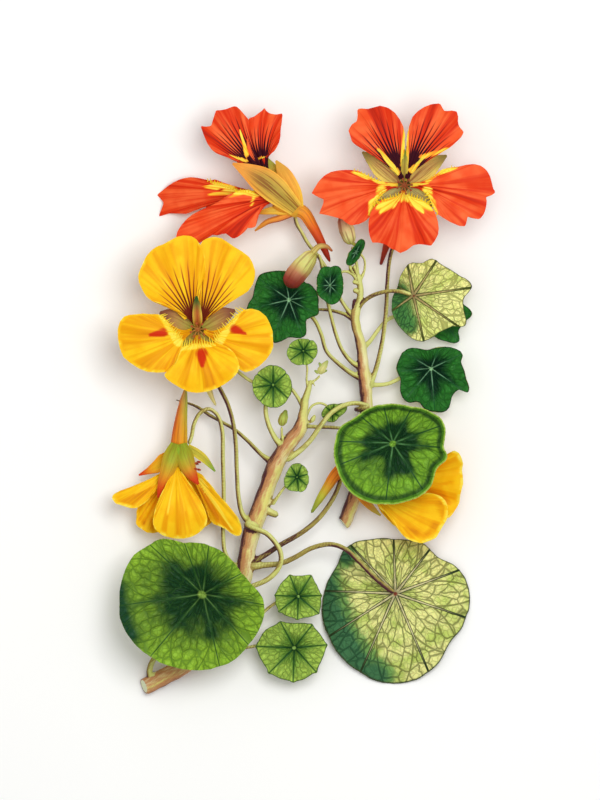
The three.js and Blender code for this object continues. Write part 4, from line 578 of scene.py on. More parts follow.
def leaf_finish(name, centre, margin, spread, veins, hub, net=(2.4, 4.4), net_dark="2F5F16", net_share=0.6,
                rim=None, edge=None, painted_shade="12503A", thick=1.0, star=0.2):
    """The finish of a leaf's face: dark round the stalk and paler outwards, with a net of fine veins. veins
    are the colours of a main vein at its two ends, and where between them they change. rim has the colours
    of a turned-up rim from the inside out, and edge that of the very margin. thick is how broad the main
    veins look, and star is how far the dark round the stalk runs out along them."""
    face = LeafFinish(name, net, 1.6, 130, Roughness=0.45, Specular_IOR_Level=0.12)
    out, vein, cells, cloud, dapple = face.out, face.vein, face.cells, face.cloud, face.dapple
    reach = out + cloud * 0.8 - 0.4 - vein.rise(3.2, 0.3) * star
    colour = face.mix(reach.rise(*spread), centre, margin)
    # painted shade: dark patches where the leaf curves away from the light
    colour = face.mix(face.trait("painted_shade"), colour, painted_shade)
    colour = face.shaded(colour, 0.22, dapple)
    # painted highlight: the middles of the net's cells are lighter, as if lit on their puffed tops
    colour = face.shaded(colour, 0.14, cells.rise(0, 0.42))
    line = cells.rise(0.1, 0).or_more(face.small_cells.rise(0.12, 0) * 0.55)
    fork = face.forks(0.55, 0.75, (0.4, 0.06), (0.52, 0.6))
    fine = (line * 0.8).or_more(fork) * vein.rise(0.2, 0.8)
    colour = face.mix(fine * net_share, colour, net_dark)
    core = vein / (out * (-0.18 * thick) + 0.3 * thick)
    colour = face.mix(core.rise(3.2, 1.2) * 0.55, colour, net_dark)
    vein_tone = face.mix(out.rise(*veins[2]), veins[0], veins[1])
    colour = face.mix(core.rise(1.25, 0.6), colour, vein_tone)
    if rim:
        colour = face.mix((cloud * 0.06 + out).rise(0.86, 0.93) * 0.8, colour, centre)
        colour = face.mix(out.rise(0.935, 0.955), colour, rim[0])
        colour = face.mix(out.rise(0.978, 0.992), colour, rim[1])
    if edge:
        colour = face.mix(out.rise(0.965, 0.992), colour, edge)
    colour = face.mix(out.rise(0.075, 0.04), colour, hub)
    under = face.shaded(face.mix(cloud, "C3CC74", "A9BE62"), 0.15, dapple)
    colour = face.mix(face.trait("back"), colour, face.mix(fine, under, "8A8A4A"))
    return face.done(colour, cells.rise(0, 0.35) - fine * 0.7 + dapple * 0.25, 0.35)


def leaf_back_finish(name, pale, green, dark, veins, line, net=(3.4, 5.2)):
    """The finish of a leaf seen from behind: pale, with raised veins, a brownish net and dark patches of
    painted shade. veins are the colours of a main vein's crest and of the painted shade along its sides."""
    back = LeafFinish(name, net, 1.8, 150, Roughness=0.55, Specular_IOR_Level=0.1)
    out, vein, dapple = back.out, back.vein, back.dapple
    colour = back.mix(back.cloud.rise(0.42, 0.68), pale, green)
    # painted shade: the dark patches take the back through a middle green to the darkest green
    painted_shade = dapple * 0.5 + back.trait("painted_shade") - 0.25
    colour = back.mix(painted_shade.rise(0.1, 0.5), colour, "74A152")
    colour = back.mix(painted_shade.rise(0.45, 0.95), colour, dark)
    colour = back.shaded(colour, 0.16, dapple)
    fork = back.forks(0.5, 0.7, (0.45, 0.12), (0.48, 0.56))
    fine = back.cells.rise(0.1, 0).or_more(fork).or_more(back.small_cells.rise(0.13, 0) * 0.4)
    colour = back.mix(fine * 0.78, colour, back.mix(painted_shade.rise(0.1, 0.7), line, "20482C"))
    core = vein / (out * -0.2 + 0.34)
    # painted shade along both sides of a raised main vein
    colour = back.mix(core.rise(2.1, 1.3).or_more(vein.rise(0.5, 0.3)), colour, veins[1])
    colour = back.mix(core.rise(1, 0.6) * out.rise(0.95, 0.4), colour, veins[0])
    colour = back.mix(out.rise(0.975, 0.995), colour, "3E4A2A")
    colour = back.mix(out.rise(0.04, 0.015), colour, "A0503A")
    return back.done(colour, fine + dapple * 0.3, 0.3)


bright_leaf = leaf_finish("bright_leaf", "10381A", "8AB42E", (0.3, 0.9), ("4E7238", "1E4716", (0.16, 0.42)),
                          "98BE50", net_dark="2A5616", painted_shade="123F24", thick=0.85, star=0.1)
cupped_leaf = leaf_finish("cupped_leaf", "0E351A", "7AAC2C", (0.28, 0.7), ("50804A", "1A4520", (0.14, 0.42)),
                          "8CC040", net_dark="235418", net_share=0.55, rim=("4F8222", "8CB83A"), star=0.16)
young_leaf = leaf_finish("young_leaf", "76A23A", "ACCE54", (0.1, 0.7), ("1F4F20", "2C561C", (0.2, 0.6)),
                         "9CC860", net=(1.4, 2.4), net_dark="2E5E20", net_share=0.45, edge="35561E",
                         thick=1.4)
dark_leaf = leaf_finish("dark_leaf", "032C18", "2A7226", (0.12, 0.7), ("6E9C76", "1A5A28", (0.26, 0.56)),
                        "A6DCA0", net=(1.9, 3.2), net_dark="08401C", net_share=0.35, edge="0A2412", thick=0.7)
pale_back = leaf_back_finish("pale_back", "ECEC94", "BED066", "42744A", ("D6CE98", "26381C"), "5C602A")
pale_back_small = leaf_back_finish("pale_back_small", "F6F69A", "D8E67A", "4E8A44", ("C0AC70", "46521E"),
                                   "8A8C40", net=(1.8, 3.0))


def round_about(listed, degrees):
    """A value round a full turn, smooth between listed [degrees, value]."""
    turned = (degrees - listed[0][0]) % 360
    count = len(listed)
    i = max(j for j in range(count) if listed[j][0] - listed[0][0] <= turned)
    spots = []
    for j in range(i - 1, i + 3):
        spots.append((listed[j % count][0] + 360 * (j // count) - listed[0][0], listed[j % count][1]))
    (d0, a), (d1, b), (d2, c), (d3, d) = spots
    w = (turned - d1) / (d2 - d1)
    leave = (c - a) / (d2 - d0) * (d2 - d1) * MARGIN_FULL
    arrive = (d - b) / (d3 - d1) * (d2 - d1) * MARGIN_FULL
    curve = b + leave * w + (3 * (c - b) - 2 * leave - arrive) * w ** 2
    return curve + (2 * (b - c) + leave + arrive) * w ** 3


def leaf(name, finish, steps, hub, rim, veins, rise=0, curl=0, dip=0, pucker=0.4, wave=0, waves=3, turn=0,
         slope=(0, 0), fold=0, fold_line=0, behind=False, nick=0.2, painted_shades=()):
    """A leaf blade of real thickness. steps are how many there are between two veins and out to the margin.
    hub is the place of its stalk, rim is [degrees, radius] and veins are the degrees of its main veins. The
    rest bends it, nicks its margin at the veins and puts dark patches of painted shade on it. The blade keeps
    the traits that its finish reads: how far out a place is, and how far from the veins, how deep in the
    painted shade, and its side."""
    crease = math.radians(fold_line)
    bm = bmesh.new()
    chart = bm.loops.layers.uv.new("UVMap")
    kinds = ("out", "vein", "between", "gap", "painted_shade", "back")
    traits = {kind: bm.verts.layers.float.new(kind) for kind in kinds}
    sectors = len(veins) * steps[0]
    front = bmesh.ops.create_grid(bm, x_segments=sectors, y_segments=steps[1], size=0.5)["verts"]
    widest = max(radius for _, radius in rim)
    for vert in front:
        index, step = divmod(round((vert.co.x + 0.5) * sectors), steps[0])
        rho = (vert.co.y + 0.5) ** RINGS_OUTWARDS
        start = veins[index % len(veins)]
        gap = (veins[(index + 1) % len(veins)] - start) % 360
        share = step / steps[0]
        share -= STEPS_TO_VEINS * math.sin(2 * math.pi * share)
        degrees = start + gap * share
        angle = math.radians(degrees)
        nearest = min(share, 1 - share)
        reach = rho * (round_about(rim, degrees) - nick * rho ** 6 * math.exp(-(nearest * NICK_NARROW) ** 2))
        facing = Vector((math.cos(angle), math.sin(angle), 0.1))
        reach += MARGIN_ROUGH * rho ** 8 * noise.noise(facing * widest * MARGIN_GRAIN)
        dx, dy = reach * math.cos(angle), reach * math.sin(angle)
        swell = pucker * math.sin(math.pi * share) ** 2 * rho * (1.6 - rho)
        lift = rise * rho ** 2 + curl * rho ** 6 + dip * (1 - math.exp(-DIP_NARROW * rho ** 2))
        lift += wave * rho ** 3 * math.cos(math.radians(waves * degrees + turn))
        lift += fold * abs(dy * math.cos(crease) - dx * math.sin(crease))
        lift += slope[0] * dx + slope[1] * dy + (-swell if behind else swell)
        lift += UNEVEN * rho * noise.noise(Vector((dx, dy, 0)) * UNEVEN_GRAIN)
        vert.co = Vector(hub) + Vector((dx, dy, lift))
        vert[traits["out"]] = rho
        vert[traits["between"]] = nearest
        vert[traits["gap"]] = math.radians(gap) * reach
        vert[traits["vein"]] = reach * math.sin(min(math.radians(gap * nearest), math.pi / 2))
        # how deep a place lies in the dark patches of painted shade, each a place and a size
        shade_depth = sum(math.exp(-((dx - x) ** 2 + (dy - y) ** 2) / r ** 2) for x, y, r in painted_shades)
        vert[traits["painted_shade"]] = min(1, shade_depth)
        for loop in vert.link_loops:
            turned = gap * share + (start - veins[0]) % 360 if index < len(veins) else 360
            loop[chart].uv = (math.radians(turned) * widest * CHART_ROUND, reach)
    bmesh.ops.remove_doubles(bm, verts=front, dist=1e-4)
    bmesh.ops.reverse_faces(bm, faces=bm.faces[:])
    bm.normal_update()
    for vert in bm.verts:
        vert.co += vert.normal * BLADE / 2
    front = set(bm.verts)
    bmesh.ops.solidify(bm, geom=bm.faces[:], thickness=BLADE)
    bm.normal_update()
    for vert in bm.verts:
        rho = vert[traits["out"]]
        ridge = (1 - RIB_TAPER * rho) * math.exp(-(vert[traits["vein"]] / RIB_HALF) ** 2)
        ribbed = (vert in front) == behind
        vert[traits["back"]] = 1.0 if ribbed else 0.0
        vert.co += vert.normal * (RIB * ridge if ribbed else -GROOVE * ridge)
        if vert not in front and rho > RIM_BEND:
            vert.co += Vector((0, 0, RIM_CLOSE * BLADE * (rho - RIM_BEND) / (1 - RIM_BEND)))
        vert.co.z = max(vert.co.z, 0.0)
    piece = settled(bm, name + "_blade", finish)
    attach(piece, "root")
    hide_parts(name)


GREAT, MIDDLING, SMALL = (20, 44), (16, 28), (12, 18)  # steps between two veins, and from hub to margin

leaf("leaf_g_large", bright_leaf, GREAT, hub=(-35.2, -67.7, 17.2), dip=1.4, rise=0.6, pucker=0.7, wave=1.2,
     turn=40, slope=(-0.03, 0), nick=0.3,
     rim=[[14, 16.9], [30, 15.6], [46, 15.4], [72, 16.6], [84, 17.4], [110, 19.2], [128, 24.3], [140, 26],
         [153, 27.9], [180, 29.2], [198, 30.2], [227, 29], [251, 27.4], [268, 26.7], [290, 25.9],
         [312, 24.1], [325, 23.4], [351, 21.8]],
     veins=[28, 83, 110, 137, 188, 230, 283, 312, 350],
     painted_shades=[(-30, 3, 4), (-30, -3, 4.5), (-28, -9, 4.5), (-25, -15, 4)])
leaf("leaf_i_cupped", cupped_leaf, GREAT, hub=(31.3, -14.9, 22.9), dip=0.6, rise=1, curl=2.6, pucker=0.6,
     wave=0.5, slope=(0, -0.01), nick=0.3,
     rim=[[22, 19.2], [40, 17], [68, 14], [95, 13.7], [126, 14.8], [148, 16.2], [165, 19.4], [185, 20.6],
         [207, 21.7], [232, 22.6], [253, 22.1], [268, 21.4], [285, 20.8], [306, 20.6], [330, 17.6],
         [345, 19.6], [357, 17.8]],
     veins=[20, 62, 104, 140, 178, 202, 263, 303, 355])
leaf("leaf_h_from_behind", pale_back, GREAT, hub=(32.2, -67.5, 8.6), rise=-6.2, curl=-0.6, pucker=0.7,
     wave=1, waves=4, turn=190, behind=True, nick=0.4,
     rim=[[18, 24.3], [40, 19.5], [58, 20], [83, 18.9], [110, 20.2], [136, 23.6], [155, 22.6], [180, 25.1],
         [207, 27.5], [235, 29.6], [261, 31.4], [283, 31], [295, 29.8], [318, 25.6], [335, 26.2],
         [352, 26.2]],
     veins=[20, 52, 92, 133, 178, 213, 246, 293, 341],
     painted_shades=[(-25, 4, 6), (-24, -6, 7), (-21, -15, 7), (-15, -23, 7), (-6, -29, 5.5), (-17, 13, 3.5)])
leaf("leaf_a_dark", dark_leaf, MIDDLING, hub=(-5, 35.3, 14.5), dip=0.6, rise=0.4, pucker=0.5, wave=0.7,
     turn=60,
     rim=[[12, 10.2], [30, 9.4], [50, 8.4], [70, 9], [103, 10.4], [118, 11.4], [142, 13.6], [155, 13],
         [176, 12.8], [187, 14.6], [196, 15.6], [215, 14], [240, 13.4], [250, 16], [258, 15], [270, 13.2],
         [293, 14], [308, 9.6], [320, 9.7], [333, 11.4], [350, 10.4]],
     veins=[8, 45, 100, 145, 193, 246, 290, 333])
leaf("leaf_e_dark", dark_leaf, MIDDLING, hub=(46.8, 30, 5.3), rise=-0.2, pucker=0.4, wave=0.4,
     rim=[[2, 12.4], [20, 10.2], [45, 8.6], [90, 8], [135, 8.4], [165, 8], [195, 8.6], [225, 7.6],
         [255, 7.4], [285, 9.4], [309, 12.2], [322, 9.4], [345, 9.8]],
     veins=[2, 60, 110, 160, 210, 262, 309])
leaf("leaf_f_dark", dark_leaf, MIDDLING, hub=(44.7, 11.3, 8.4), dip=0.6, rise=0.5, pucker=0.5, wave=0.8,
     waves=4, turn=30,
     rim=[[12, 10.7], [24, 12.2], [44, 10.4], [65, 8.2], [104, 6.6], [148, 11.4], [160, 11.6], [182, 12.2],
         [200, 11.4], [218, 13.6], [233, 14.7], [250, 12.6], [262, 14.6], [290, 15.8], [307, 12.2],
         [322, 12.3], [327, 15.6], [345, 12.6]],
     veins=[25, 70, 150, 185, 230, 275, 325])
leaf("leaf_d_from_behind", pale_back_small, MIDDLING, hub=(38.5, 36.7, 15.4), rise=-2.6, pucker=0.5,
     wave=0.8, turn=100, behind=True,
     rim=[[10, 20.8], [25, 17.2], [45, 14.8], [63, 14.5], [75, 11.8], [96, 11.4], [114, 9], [141, 6.6],
         [160, 6.2], [200, 8], [222, 9.8], [248, 12], [280, 16.3], [297, 15.9], [306, 15.8], [322, 17.4],
         [330, 21], [345, 18.2], [357, 17.6]],
     veins=[8, 57, 100, 150, 215, 283, 326], painted_shades=[(-6, 1, 4), (-5, -5, 4), (-2, -10, 3.5)])
leaf("leaf_b_small", dark_leaf, SMALL, hub=(9.3, 40.3, 18), dip=0.3, pucker=0.3, fold=0.25, fold_line=88,
     rim=[[0, 4.7], [37, 5.4], [63, 7.3], [90, 6.6], [112, 6.9], [140, 5.6], [180, 4.6], [218, 5.4],
         [248, 5.6], [270, 6.7], [292, 6.6], [322, 5.4]],
     veins=[0, 50, 88, 130, 180, 225, 270, 315])
leaf("leaf_c_folded", dark_leaf, SMALL, hub=(18.4, 51.9, 17.2), pucker=0.2, fold=0.35, fold_line=63,
     nick=0.1,
     rim=[[15, 2.4], [62, 5.2], [100, 2.4], [150, 1.8], [205, 3.2], [236, 5.4], [280, 2.8], [330, 1.8]],
     veins=[15, 62, 120, 200, 240, 300])
leaf("leaf_j_small", young_leaf, SMALL, hub=(-10.6, 5.5, 16.8), dip=0.4, pucker=0.5, wave=0.4, turn=50,
     nick=0.25,
     rim=[[0, 6.6], [30, 6.4], [60, 6.6], [95, 7], [130, 6.8], [165, 7.2], [190, 7.4], [225, 7.4], [262, 8],
         [285, 8], [320, 7.2]],
     veins=[42, 90, 146, 188, 232, 270, 318])
leaf("leaf_k_small", young_leaf, SMALL, hub=(0, 17.4, 19.3), dip=0.3, pucker=0.4, wave=0.3, nick=0.25,
     rim=[[0, 5], [40, 5], [80, 4.3], [120, 4.6], [160, 5.4], [195, 5.9], [235, 5.6], [265, 5], [300, 5],
         [335, 4.8]],
     veins=[8, 58, 115, 165, 215, 268, 322])
leaf("leaf_l_small", young_leaf, SMALL, hub=(-2.2, -26.8, 15.2), dip=0.3, pucker=0.45, wave=0.3, turn=80,
     nick=0.25,
     rim=[[0, 4.1], [35, 4.2], [80, 4.9], [115, 4.7], [150, 4], [185, 4.6], [225, 5.5], [262, 5],
         [290, 5.4], [325, 4.6]],
     veins=[15, 70, 120, 175, 228, 275, 320])
leaf("leaf_m_folded", young_leaf, SMALL, hub=(10.2, -4.2, 10.2), pucker=0.3, fold=0.3, fold_line=28,
     slope=(0.02, 0), nick=0.1,
     rim=[[28, 5.6], [60, 3.4], [100, 3], [150, 3.2], [195, 4], [228, 3.6], [280, 3.2], [330, 2.8]],
     veins=[28, 80, 140, 205, 270, 330])
leaf("leaf_n_small", young_leaf, SMALL, hub=(-1.8, -68.5, 9.9), dip=0.4, pucker=0.5, wave=0.4, nick=-0.5,
     rim=[[0, 7.8], [30, 7.6], [62, 8.2], [85, 7.2], [115, 7.6], [145, 7.6], [175, 7.8], [208, 8.4],
         [240, 8], [285, 7.8], [318, 9], [342, 8.4]],
     veins=[2, 58, 112, 178, 218, 268, 320])
leaf("leaf_o_small", young_leaf, SMALL, hub=(-3.2, -86.5, 7.7), dip=0.5, pucker=0.6, wave=0.5, turn=120,
     nick=-0.7,
     rim=[[5, 10.9], [30, 10.2], [58, 9.6], [90, 8.6], [130, 10.4], [152, 12], [185, 12.9], [205, 12.2],
         [235, 12], [262, 11.6], [285, 11.6], [308, 11], [335, 10.6]],
     veins=[5, 52, 118, 178, 225, 268, 312])

# ---------------------------------------------------------------- petals: shape and finish
# Each petal is one thin soft sheet on a narrow claw. It widens outwards, is pleated lengthwise, and its
# margin is toothed or waved. The three lower petals of a flower are fringed at their claws.

PETAL = 0.34  # thickness
PETAL_CELLS = (76, 30)  # across a petal and along it
CLAW = 0.8  # half width where a petal leaves the cup
CLAW_SPREAD = 1.3  # how much further apart its streaks are at the pivot
WAVE_SHIFT, PLEAT_SHIFT = 0.8, 0.6  # how far the waves and the pleats are off the middle, in radians
LASH_FOOT, LASH_TIP = 0.32, 0.07  # radii of one hair of the fringe
LASH_UNEVEN = 0.22  # how far the hairs differ in length
LASH_RISE = 0.42  # how steeply it stands up, against its run
LASH_OUT = 0.42  # how much of its length its middle stands out, so that its foot is sunk in the petal
NO_GUIDE = -1.0  # the guide trait where there are no guide lines


class Blade:
    """The middle surface of a petal. Its streaks start side by side at the claw, and fan out from the pivot
    to the drawn margin. a runs along the margin from -1 to 1, and r outwards along a streak."""

    def __init__(self, line, pivot, margin, cup, lean, wave, waves, pleat, pleats):
        self.line = Route(line)
        self.root = self.line.spots[0].xy
        self.pivot = Vector(pivot)
        self.margin = [Vector(spot) for spot in margin]
        self.run = [0.0]
        for one, two in zip(self.margin, self.margin[1:]):
            self.run.append(self.run[-1] + (two - one).length)
        ahead = self.line.spots[-1].xy - self.root
        self.reach = ahead.length
        self.ahead = ahead / self.reach
        self.beside = Vector((self.ahead.y, -self.ahead.x))
        offsets = [self.beside.dot(spot - self.root) for spot in self.margin]
        self.way = 1 if offsets[-1] > offsets[0] else -1
        self.half = max(abs(offset) for offset in offsets)
        self.cup, self.lean, self.wave, self.waves = cup, lean, wave, waves
        self.pleat, self.pleats = pleat, pleats

    def goal(self, a):
        """The margin's place where a streak ends."""
        goal = (a + 1) / 2 * self.run[-1]
        i = min(max(bisect.bisect_left(self.run, goal), 1), len(self.run) - 1)
        share = (goal - self.run[i - 1]) / (self.run[i] - self.run[i - 1])
        return self.margin[i - 1].lerp(self.margin[i], share)

    def at(self, a, r):
        shift = self.beside * a * CLAW * self.way
        flat = (self.root + shift) * (1 - r) ** 2 + (self.pivot + shift * CLAW_SPREAD) * 2 * r * (1 - r)
        flat += self.goal(a) * r ** 2
        off = self.beside.dot(flat - self.root)
        height = self.line.at(self.line.place(self.ahead.dot(flat - self.root) / self.reach)).z
        height += self.cup * off * off / self.half + self.lean * off
        height += self.wave * r ** 3 * math.sin(self.waves * math.pi * a + WAVE_SHIFT)
        pleat = self.pleat * math.sin(self.pleats * math.pi * a + PLEAT_SHIFT)
        height += pleat * r * (1.5 - r) * (1 - 0.3 * a * a)
        return Vector((*flat, height))

    def from_margin(self, a, r):
        return (self.goal(a) - self.at(a, r).xy).length


def unrolled_on(bm):
    return bm.loops.layers.uv.get("UVMap") or bm.loops.layers.uv.new("UVMap")


def lay_sheet(bm, sheet, cells, thickness, paint):
    """A closed thin body on a middle surface. paint(vert, u, v) sets the traits that its finish reads. Each
    one has its own part of the streaks."""
    chart = unrolled_on(bm)
    side = bm.verts.layers.float_vector.get("side") or bm.verts.layers.float_vector.new("side")
    shift = 0.7 * sheet.line.spots[0].x + 0.3 * sheet.line.spots[-1].y
    before = set(bm.faces)
    made = bmesh.ops.create_grid(bm, x_segments=cells[0], y_segments=cells[1], size=0.5)["verts"]
    for vert in made:
        u, v = 2 * vert.co.x, vert.co.y + 0.5
        vert.co = sheet.at(u, v)
        paint(vert, u, v)
        for loop in vert.link_loops:
            loop[chart].uv = (u, v + shift)
    faces = [face for face in bm.faces if face not in before]
    for face in faces:
        face.normal_update()
    if sum(face.normal.z for face in faces) < 0:
        bmesh.ops.reverse_faces(bm, faces=faces)
    for vert in made:
        vert.normal_update()
        vert[side] = vert.normal * thickness
    both = bmesh.ops.extrude_face_region(bm, geom=faces, use_keep_orig=True)["geom"]
    under = [part for part in both if isinstance(part, bmesh.types.BMVert)]
    for vert in made:
        vert.co += vert[side] / 2
    for vert in under:
        vert.co -= vert[side] / 2
    closed = {face for vert in (*made, *under) for face in vert.link_faces}
    bmesh.ops.recalc_face_normals(bm, faces=list(closed))


def soft(value, start, end):
    """0 at start and 1 at end, with soft ends."""
    share = min(max((value - start) / (end - start), 0.0), 1.0)
    return share * share * (3 - 2 * share)


def petal_finish(name, base, deep, shadow, gold, guide, guides, lash):
    """A petal's finish: fine lengthwise streaks over a soft body colour. Painted traits bring in a deeper
    colour and a shadow colour, partly the petal's own and partly painted shade, gold, a spot, and that many
    guide lines that run from the claw."""
    silk = Finish(name, Roughness=0.5, Specular_IOR_Level=0.08, Subsurface_Weight=0.05,
                  Subsurface_Scale=0.001)
    u_v = silk.warped(silk.unrolled(), 2.5, 0.05)
    streak = silk.speckle(silk.scaled(u_v, 13, 0.9), 1).rise(0.25, 0.75)
    broad = silk.speckle(silk.scaled(u_v, 4, 0.8), 1, 2).rise(0.3, 0.7)
    colour = silk.mix(silk.speckle(silk.place(), 160, 2).rise(0.35, 0.7), base[0], base[1])
    # painted shade in part: where the deep trait and the streaks run high, the colour turns to the deeper
    # tone and then to the shadow colour
    depth = silk.trait("deep") + streak * 0.8 + broad * 0.7 - 0.75
    colour = silk.mix(depth.rise(0, 0.7), colour, deep)
    colour = silk.mix(depth.rise(0.6, 1.2), colour, shadow)
    golden = (streak * 1.1 + 0.34) * silk.trait("gold")
    colour = silk.mix(golden.rise(0.15, 0.5), colour, gold[0])
    colour = silk.mix(golden.rise(0.4, 0.8), colour, silk.mix(streak, gold[1], gold[2]))
    across = silk.add("SeparateXYZ", {0: u_v})
    off_line = abs((across * (guides / 2) + 0.5).worked("FRACT") - 0.5)
    strength = (streak - 0.5) * 0.12 + silk.trait("guide") - golden.rise(0.2, 0.6) * 1.3
    width = strength.or_more(0) ** 2.6 * 0.95 + 0.2
    line = (width - off_line * 2).rise(-0.08, 0.1) * strength.rise(0, 0.3)
    colour = silk.mix(line, colour, silk.mix(strength.rise(0.1, 0.7), guide[0], guide[1]))
    spot = streak * 0.3 + silk.trait("spot") - 0.15
    colour = silk.mix(spot.rise(0.25, 1), colour, guide[2])
    colour = silk.mix(silk.trait("lash"), colour, silk.mix(streak, lash[0], lash[1]))
    return silk.done(colour, broad * 0.6 + streak * 0.5, 0.25)


red_silk = petal_finish("red_petal", ("F86C38", "EE5022"), "DA320E", "A01606",
                        ("F99A26", "F6CC1C", "FFEE5C"), ("8A1A12", "3A0A18", "8A1410"), 24,
                        ("F8D824", "E8B820"))
yellow_silk = petal_finish("yellow_petal", ("FCCA1A", "F6B60C"), "ECA006", "D48208",
                           ("FBC41A", "FDD626", "FFE85A"), ("B8501A", "6E2410", "CC300C"), 19,
                           ("FFE648", "F0D030"))


def patch(spot, patches):
    """How deep a place is in one of some patches, each tapering along a short line and seen from above. A
    patch is its two ends, its size and, if it isn't 1, its strength."""
    most = 0.0
    for start, end, size, *strength in patches:
        start, way = Vector(start), Vector(end) - Vector(start)
        share = min(max((spot.xy - start).dot(way) / way.dot(way), 0.0), 1.0)
        off = (spot.xy - start - way * share).length / (size * (1.2 - 0.8 * share))
        most = max(most, (*strength, 1)[0] * (1 - soft(off, 0.35, 1.5)))
    return most


def aligned(place, aim):
    """The move that takes something to a place and turns its +Z to an aim."""
    return Matrix.Translation(Vector(place)) @ Vector(aim).to_track_quat("Z", "Y").to_matrix().to_4x4()


def fringe(bm, roots, start, end, count, length, facing):
    """A row of soft hairs from start to end, on the nearest of some roots. facing is the way the first and
    the last one point, in degrees."""
    hairs = []
    for i in range(count):
        toward = math.radians(facing[0] + (facing[1] - facing[0]) * i / (count - 1))
        flat = Vector(start).lerp(Vector(end), i / (count - 1))
        root = min(roots, key=lambda spot: (spot.xy - flat).length)
        aim = Vector((math.cos(toward), math.sin(toward), LASH_RISE)).normalized()
        size = length * (1 + LASH_UNEVEN * math.sin(i * 2.4))
        turned = aligned(root + aim * size * LASH_OUT, aim)
        hairs += bmesh.ops.create_cone(bm, cap_ends=True, segments=5, radius1=LASH_FOOT, radius2=LASH_TIP,
                                       depth=size, matrix=turned)["verts"]
    return hairs


class Flower:
    """A flower's name, and the finish and the pleats that its petals share. Its slot is not used."""

    def __init__(self, name, silk, slot, pleat, pleats):
        self.name, self.silk, self.slot = name, silk, slot
        self.pleat, self.pleats = pleat, pleats

    def petal(self, place, pivot, line, margin, deep, edge_gold=0.0, guide=None, golds=(), shade_patches=(), spots=(),
              lashes=(), cup=0.0, lean=0.0, wave=0.0, waves=5):
        """One petal. deep is how strong the deeper colour, partly the petal's own and partly painted shade,
        is at the claw, how far out it goes and how strong it is at the margin. guide is how far out the guide
        lines are run together and how far they run. golds and spots are patches, and so are the patches of
        painted shade where a petal lies under another or in a fold. A row of lashes is from, to, how many,
        how long and which way."""
        name = f"{self.name}_petal_{place}"
        blade = Blade(line, pivot, margin, cup, lean, wave, waves, self.pleat, self.pleats)
        bm = bmesh.new()
        layer = {kind: bm.verts.layers.float.new(kind) for kind in ("deep", "gold", "guide", "spot", "lash")}
        roots = []

        def paint(vert, a, r):
            roots.append(vert.co.copy())
            gold = edge_gold * (1 - soft(blade.from_margin(a, r), 0.1, 2.2)) * soft(r, 0.3, 0.6)
            shade = deep[2] + (deep[0] - deep[2]) * (1 - soft(r, 0.05, deep[1]))
            # the deeper colour, partly painted shade, and the patches of painted shade where a petal lies
            # under another or in a fold
            vert[layer["deep"]] = shade + 0.55 * patch(vert.co, shade_patches)
            vert[layer["gold"]] = max(gold, patch(vert.co, golds))
            vert[layer["spot"]] = patch(vert.co, spots)
            vert[layer["guide"]] = NO_GUIDE
            if guide:
                runs = guide[1] * (1 - 0.22 * a * a)
                vert[layer["guide"]] = min(max((runs - r) / (runs - guide[0]), NO_GUIDE), 1.3)

        lay_sheet(bm, blade, PETAL_CELLS, PETAL, paint)
        for vert in bm.verts:
            vert.co.z = max(vert.co.z, 0.0)
        for row in lashes:
            for vert in fringe(bm, roots, *row):
                vert[layer["lash"]] = 1.0
                vert[layer["guide"]] = NO_GUIDE
        piece = settled(bm, name + "_blade", self.silk)
        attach(piece, "root")
        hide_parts(name)


# ---------------------------------------------------------------- cups, sepals and stamens
# Behind the petals a flower has a fleshy cup with five pointed sepals, drawn out backwards into one long
# spur. Eight stamens round a style stand in its mouth.

SEPAL = 0.45  # thickness
SEPAL_CELLS = (16, 30)  # across a sepal and along it
CUP_WALL = 0.6
CUP_OPEN = 0.45  # how much of the cup is hollow
CUP_MESH, SPUR_MESH = (28, 0.5), (20, 0.6)  # sides and step
SPUR_STRIPE = 0.55  # how striped the spur is
SEPAL_CUP = 0.15  # how far a sepal is cupped, if nothing else is given
SEPAL_PLEAT, SEPAL_PLEATS = 0.12, 9  # how deep its pleats are, and how close together
STAMENS = 8
DISC_MESH, THREAD_MESH, STYLE_MESH = (16, 0.3), (7, 0.5), (7, 0.6)
HEAD_OUT = 2.62  # how far a pollen head stands from the flower's middle
HEAD_SHAPE = Matrix.Diagonal((0.42, 0.42, 0.8, 1))


def eased(listed, share):
    """A value between evenly spaced listed ones, smooth through them."""
    spot = min(max(share, 0.0), 1.0) * (len(listed) - 1)
    i = min(int(spot), len(listed) - 2)
    w = spot - i
    a, b = listed[i], listed[i + 1]
    before = listed[i - 1] if i else 2 * a - b
    after = listed[i + 2] if i + 2 < len(listed) else 2 * b - a
    leave, arrive = (b - before) / 2, (after - a) / 2
    curve = a + leave * w + (3 * (b - a) - 2 * leave - arrive) * w ** 2
    return curve + (2 * (a - b) + leave + arrive) * w ** 3


class Sepal:
    """The middle surface of a sepal. u runs across it from -1 to 1, and v from its foot to its tip."""

    def __init__(self, line, half, cup):
        self.line, self.half, self.cup = Route(line), half, cup

    def at(self, u, v):
        place = self.line.place(v)
        heading = self.line.heading(place)
        heading.z = 0
        heading.normalize()
        half = max(eased(self.half, v), 0.05)
        spot = self.line.at(place)
        spot.x += heading.y * u * half
        spot.y -= heading.x * u * half
        spot.z += self.cup * u * u * half + SEPAL_PLEAT * math.sin(SEPAL_PLEATS * u) * (1 - v)
        return spot


